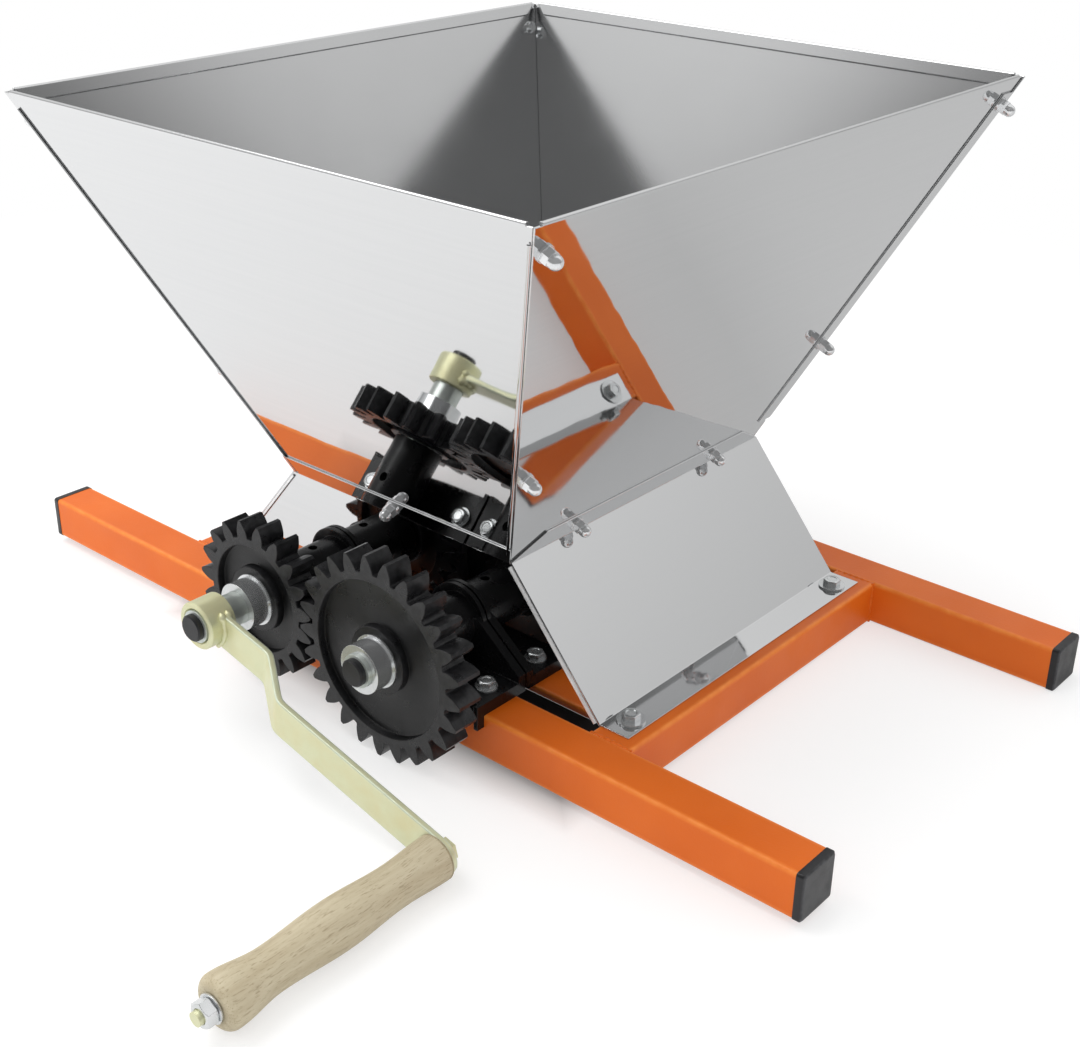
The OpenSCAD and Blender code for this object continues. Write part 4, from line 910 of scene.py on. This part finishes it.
nut_low, nut_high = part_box("handle_nut")
_, nut_corner = hexagon(NUT_FLATS)
nut_bevel = NUT_FLATS * HEX_BEVEL
nut_slant = np.maximum(nut_corner - nut_bevel, 0) * CHAMFER_SLOPE
nut_rows = (
    (NUT_BORE, nut_high.y),
    (nut_bevel, nut_high.y),
    (nut_corner, nut_high.y - nut_slant),
    (nut_corner, nut_low.y + nut_slant),
    (nut_bevel, nut_low.y),
    (NUT_MOUTH, nut_low.y),
    (NUT_BORE, nut_low.y + NUT_MOUTH_DEPTH),
)
nut = skin("chamfered_nut", [turned(nut_rows, joint_at["grip_spin"], 48)], ends="loop")
fit(nut, zinc_plate, "crank", "zinc", "handle_nut")
coat(zinc_plate, "handle_washer")
coat(yellow_passivate, "handle_bolt")

# Studio: the photograph's camera, a white floor on which the crusher rests a little tilted, on its
# rear beam and its large gear, a large soft lamp above on the left, and a room that mirrors as a pale
# backdrop behind the object and as a dark wall behind the camera.
CAMERA_EYE = Vector((0.6502, -0.5979, 0.5550))
CAMERA_RIGHT = Vector((0.7550, 0.6556, 0.0125))
CAMERA_AHEAD = Vector((-0.5822, 0.6791, -0.4470))
LENS = 53.23
SENSOR = 36.0
WHITE = (1, 1, 1, 1)
FLOOR_SLOPE = 0.0163
FLOOR_FROM_Y = 0.315
FLOOR_REACH = 30.0
BACKDROP_WAY = (-0.75, 0.66, 0.0)
BACKDROP_FROM = -0.17
BACKDROP_FULL = -0.08
BACKDROP_GLOW = 0.92
HORIZON_SHARE = 0.3
HORIZON_HEIGHT = 0.66
DARK_SIDE_GLOW = 0.14
ROOM_GLOW = 0.95
FLOOR_NEAR_GLOW = 1.0
# Painted shade: the floor that metal sees glows dimmer behind the object.
FLOOR_BEHIND_SHADED_GLOW = 0.38
FLOOR_WHITE = (0.82, 0.82, 0.82, 1)
FLOOR_SEEN = (1.12, 1.12, 1.12, 1)
# Painted shadow: the dark colour that the floor is given under the housing.
FLOOR_PAINTED_SHADOW = (0.06, 0.06, 0.06, 1)
HOUSING_HALF = 0.15
HOUSING_DEEP = 0.145
PAINTED_SHADOW_FADE = 0.04
SHADOW_NEAR = 0.5
SHADOW_FAR = 1.2
SHADOW_LIFT = 0.55
FLOOR_DIM_BY = 0.45
FLOOR_MIRROR = 0.55

camera = bpy.data.objects.new("camera", bpy.data.cameras.new("camera"))
camera.data.lens = LENS
camera.data.sensor_width = SENSOR
camera.data.clip_start = 0.01
camera_back = -CAMERA_AHEAD.normalized()
camera_right = (CAMERA_RIGHT - CAMERA_RIGHT.dot(camera_back) * camera_back).normalized()
camera_up = camera_back.cross(camera_right)
turned_to = Matrix((camera_right, camera_up, camera_back)).transposed().to_4x4()
camera.matrix_world = Matrix.Translation(CAMERA_EYE) @ turned_to
bpy.context.scene.collection.objects.link(camera)
bpy.context.scene.camera = camera


def floor_finish():
    """White floor. The camera sees its soft shadow near the object, and plain white further off.
    Under the housing it is painted dark, as a painted shadow. Metal sees a floor that is bright in front
    of the object and dimmer behind it, as painted shade."""
    made = bpy.data.materials.new("studio_floor")
    made.use_nodes = True
    tree = made.node_tree
    tree.nodes.clear()
    path = node(tree, "LightPath").outputs
    place = node(tree, "TexCoord").outputs["Object"]
    plain = node(tree, "Emission", {"Color": WHITE, "Strength": 1.0})
    distance = node(tree, "VectorMath", {0: place}, operation="LENGTH").outputs["Value"]
    x, depth, _ = node(tree, "SeparateXYZ", {0: place}).outputs
    beyond_end = maths(tree, "SUBTRACT", maths(tree, "ABSOLUTE", x), HOUSING_HALF)
    from_middle = maths(tree, "ABSOLUTE", maths(tree, "SUBTRACT", depth, middle_y))
    beyond_side = maths(tree, "SUBTRACT", from_middle, HOUSING_DEEP)
    # Painted shadow: under the housing the floor is given a dark colour, and the plain white is held off.
    outside_painted_shadow = ramp(tree, maths(tree, "MAXIMUM", beyond_end, beyond_side), 0.0, PAINTED_SHADOW_FADE, 0.0, 1.0)
    open_white = between(tree, path["Is Camera Ray"], FLOOR_WHITE, FLOOR_SEEN)
    lit = node(tree, "BsdfDiffuse", {"Color": between(tree, outside_painted_shadow, FLOOR_PAINTED_SHADOW, open_white)})
    far_off = ramp(tree, distance, SHADOW_NEAR, SHADOW_FAR, SHADOW_LIFT, 1.0)
    open_share = maths(tree, "MULTIPLY", far_off, outside_painted_shadow)
    plain_share = maths(tree, "MULTIPLY", open_share, path["Is Camera Ray"])
    # Painted shade: for metal, the floor glows dimmer behind the object.
    glow = ramp(tree, depth, 0.0, FLOOR_DIM_BY, FLOOR_NEAR_GLOW, FLOOR_BEHIND_SHADED_GLOW)
    mirrored = node(tree, "Emission", {"Color": WHITE, "Strength": glow})
    mirrored_share = maths(tree, "MULTIPLY", path["Is Glossy Ray"], FLOOR_MIRROR)
    seen = node(tree, "MixShader", {0: plain_share, 1: lit.outputs[0], 2: plain.outputs[0]})
    mixed = node(tree, "MixShader", {0: mirrored_share, 1: seen.outputs[0], 2: mirrored.outputs[0]})
    node(tree, "OutputMaterial", {"Surface": mixed.outputs[0]})
    return made


sides = np.array([[-1, -1], [1, -1], [1, 1], [-1, 1]]) * FLOOR_REACH
corners = np.column_stack([sides, (sides[:, 1] - FLOOR_FROM_Y) * FLOOR_SLOPE])
floor_mesh = bpy.data.meshes.new("floor")
floor_mesh.from_pydata(corners, [], [(0, 1, 2, 3)])
floor = bpy.data.objects.new("floor", floor_mesh)
floor_mesh.materials.append(floor_finish())
bpy.context.scene.collection.objects.link(floor)


def soft_lamp(name, place, aim, side, watts, mirrored):
    """Square area lamp at a place, turned to a point. Metal mirrors it or not."""
    lamp = bpy.data.lights.new(name, "AREA")
    lamp.size = side
    lamp.energy = watts
    holder = bpy.data.objects.new(name, lamp)
    holder.location = place
    holder.visible_glossy = mirrored
    holder.rotation_euler = (Vector(aim) - Vector(place)).to_track_quat("-Z", "Y").to_euler()
    bpy.context.scene.collection.objects.link(holder)


soft_lamp("key_lamp", place=(-1.05, -0.2, 2.5), aim=(0, 0.1, 0.15), side=1.8, watts=31, mirrored=True)
soft_lamp("fill_lamp", place=(-1.0, -0.9, 0.35), aim=(-0.3, 0, 0.02), side=0.6, watts=3.0, mirrored=False)

world = bpy.data.worlds.new("studio")
world.use_nodes = True
tree = world.node_tree
tree.nodes.clear()
ray = node(tree, "LightPath").outputs
direction = node(tree, "TexCoord").outputs["Generated"]
backward = node(tree, "VectorMath", {0: direction, 1: BACKDROP_WAY}, operation="DOT_PRODUCT").outputs["Value"]
backdrop = ramp(tree, backward, BACKDROP_FROM, BACKDROP_FULL, DARK_SIDE_GLOW, BACKDROP_GLOW)
room = node(tree, "Background", {"Color": WHITE, "Strength": ROOM_GLOW})
height = node(tree, "SeparateXYZ", {0: direction}).outputs["Z"]
above_horizon = ramp(tree, height, 0.0, HORIZON_HEIGHT, HORIZON_SHARE, 1.0)
shown_glow = maths(tree, "MULTIPLY", backdrop, above_horizon)
shown = node(tree, "Background", {"Color": WHITE, "Strength": shown_glow})
white = node(tree, "Background", {"Color": WHITE, "Strength": 1.0})
glossy = node(tree, "MixShader", {0: ray["Is Glossy Ray"], 1: room.outputs[0], 2: shown.outputs[0]})
mixed = node(tree, "MixShader", {0: ray["Is Camera Ray"], 1: glossy.outputs[0], 2: white.outputs[0]})
node(tree, "OutputWorld", {"Surface": mixed.outputs[0]})
bpy.context.scene.world = world
bpy.context.scene.view_settings.view_transform = "Standard"
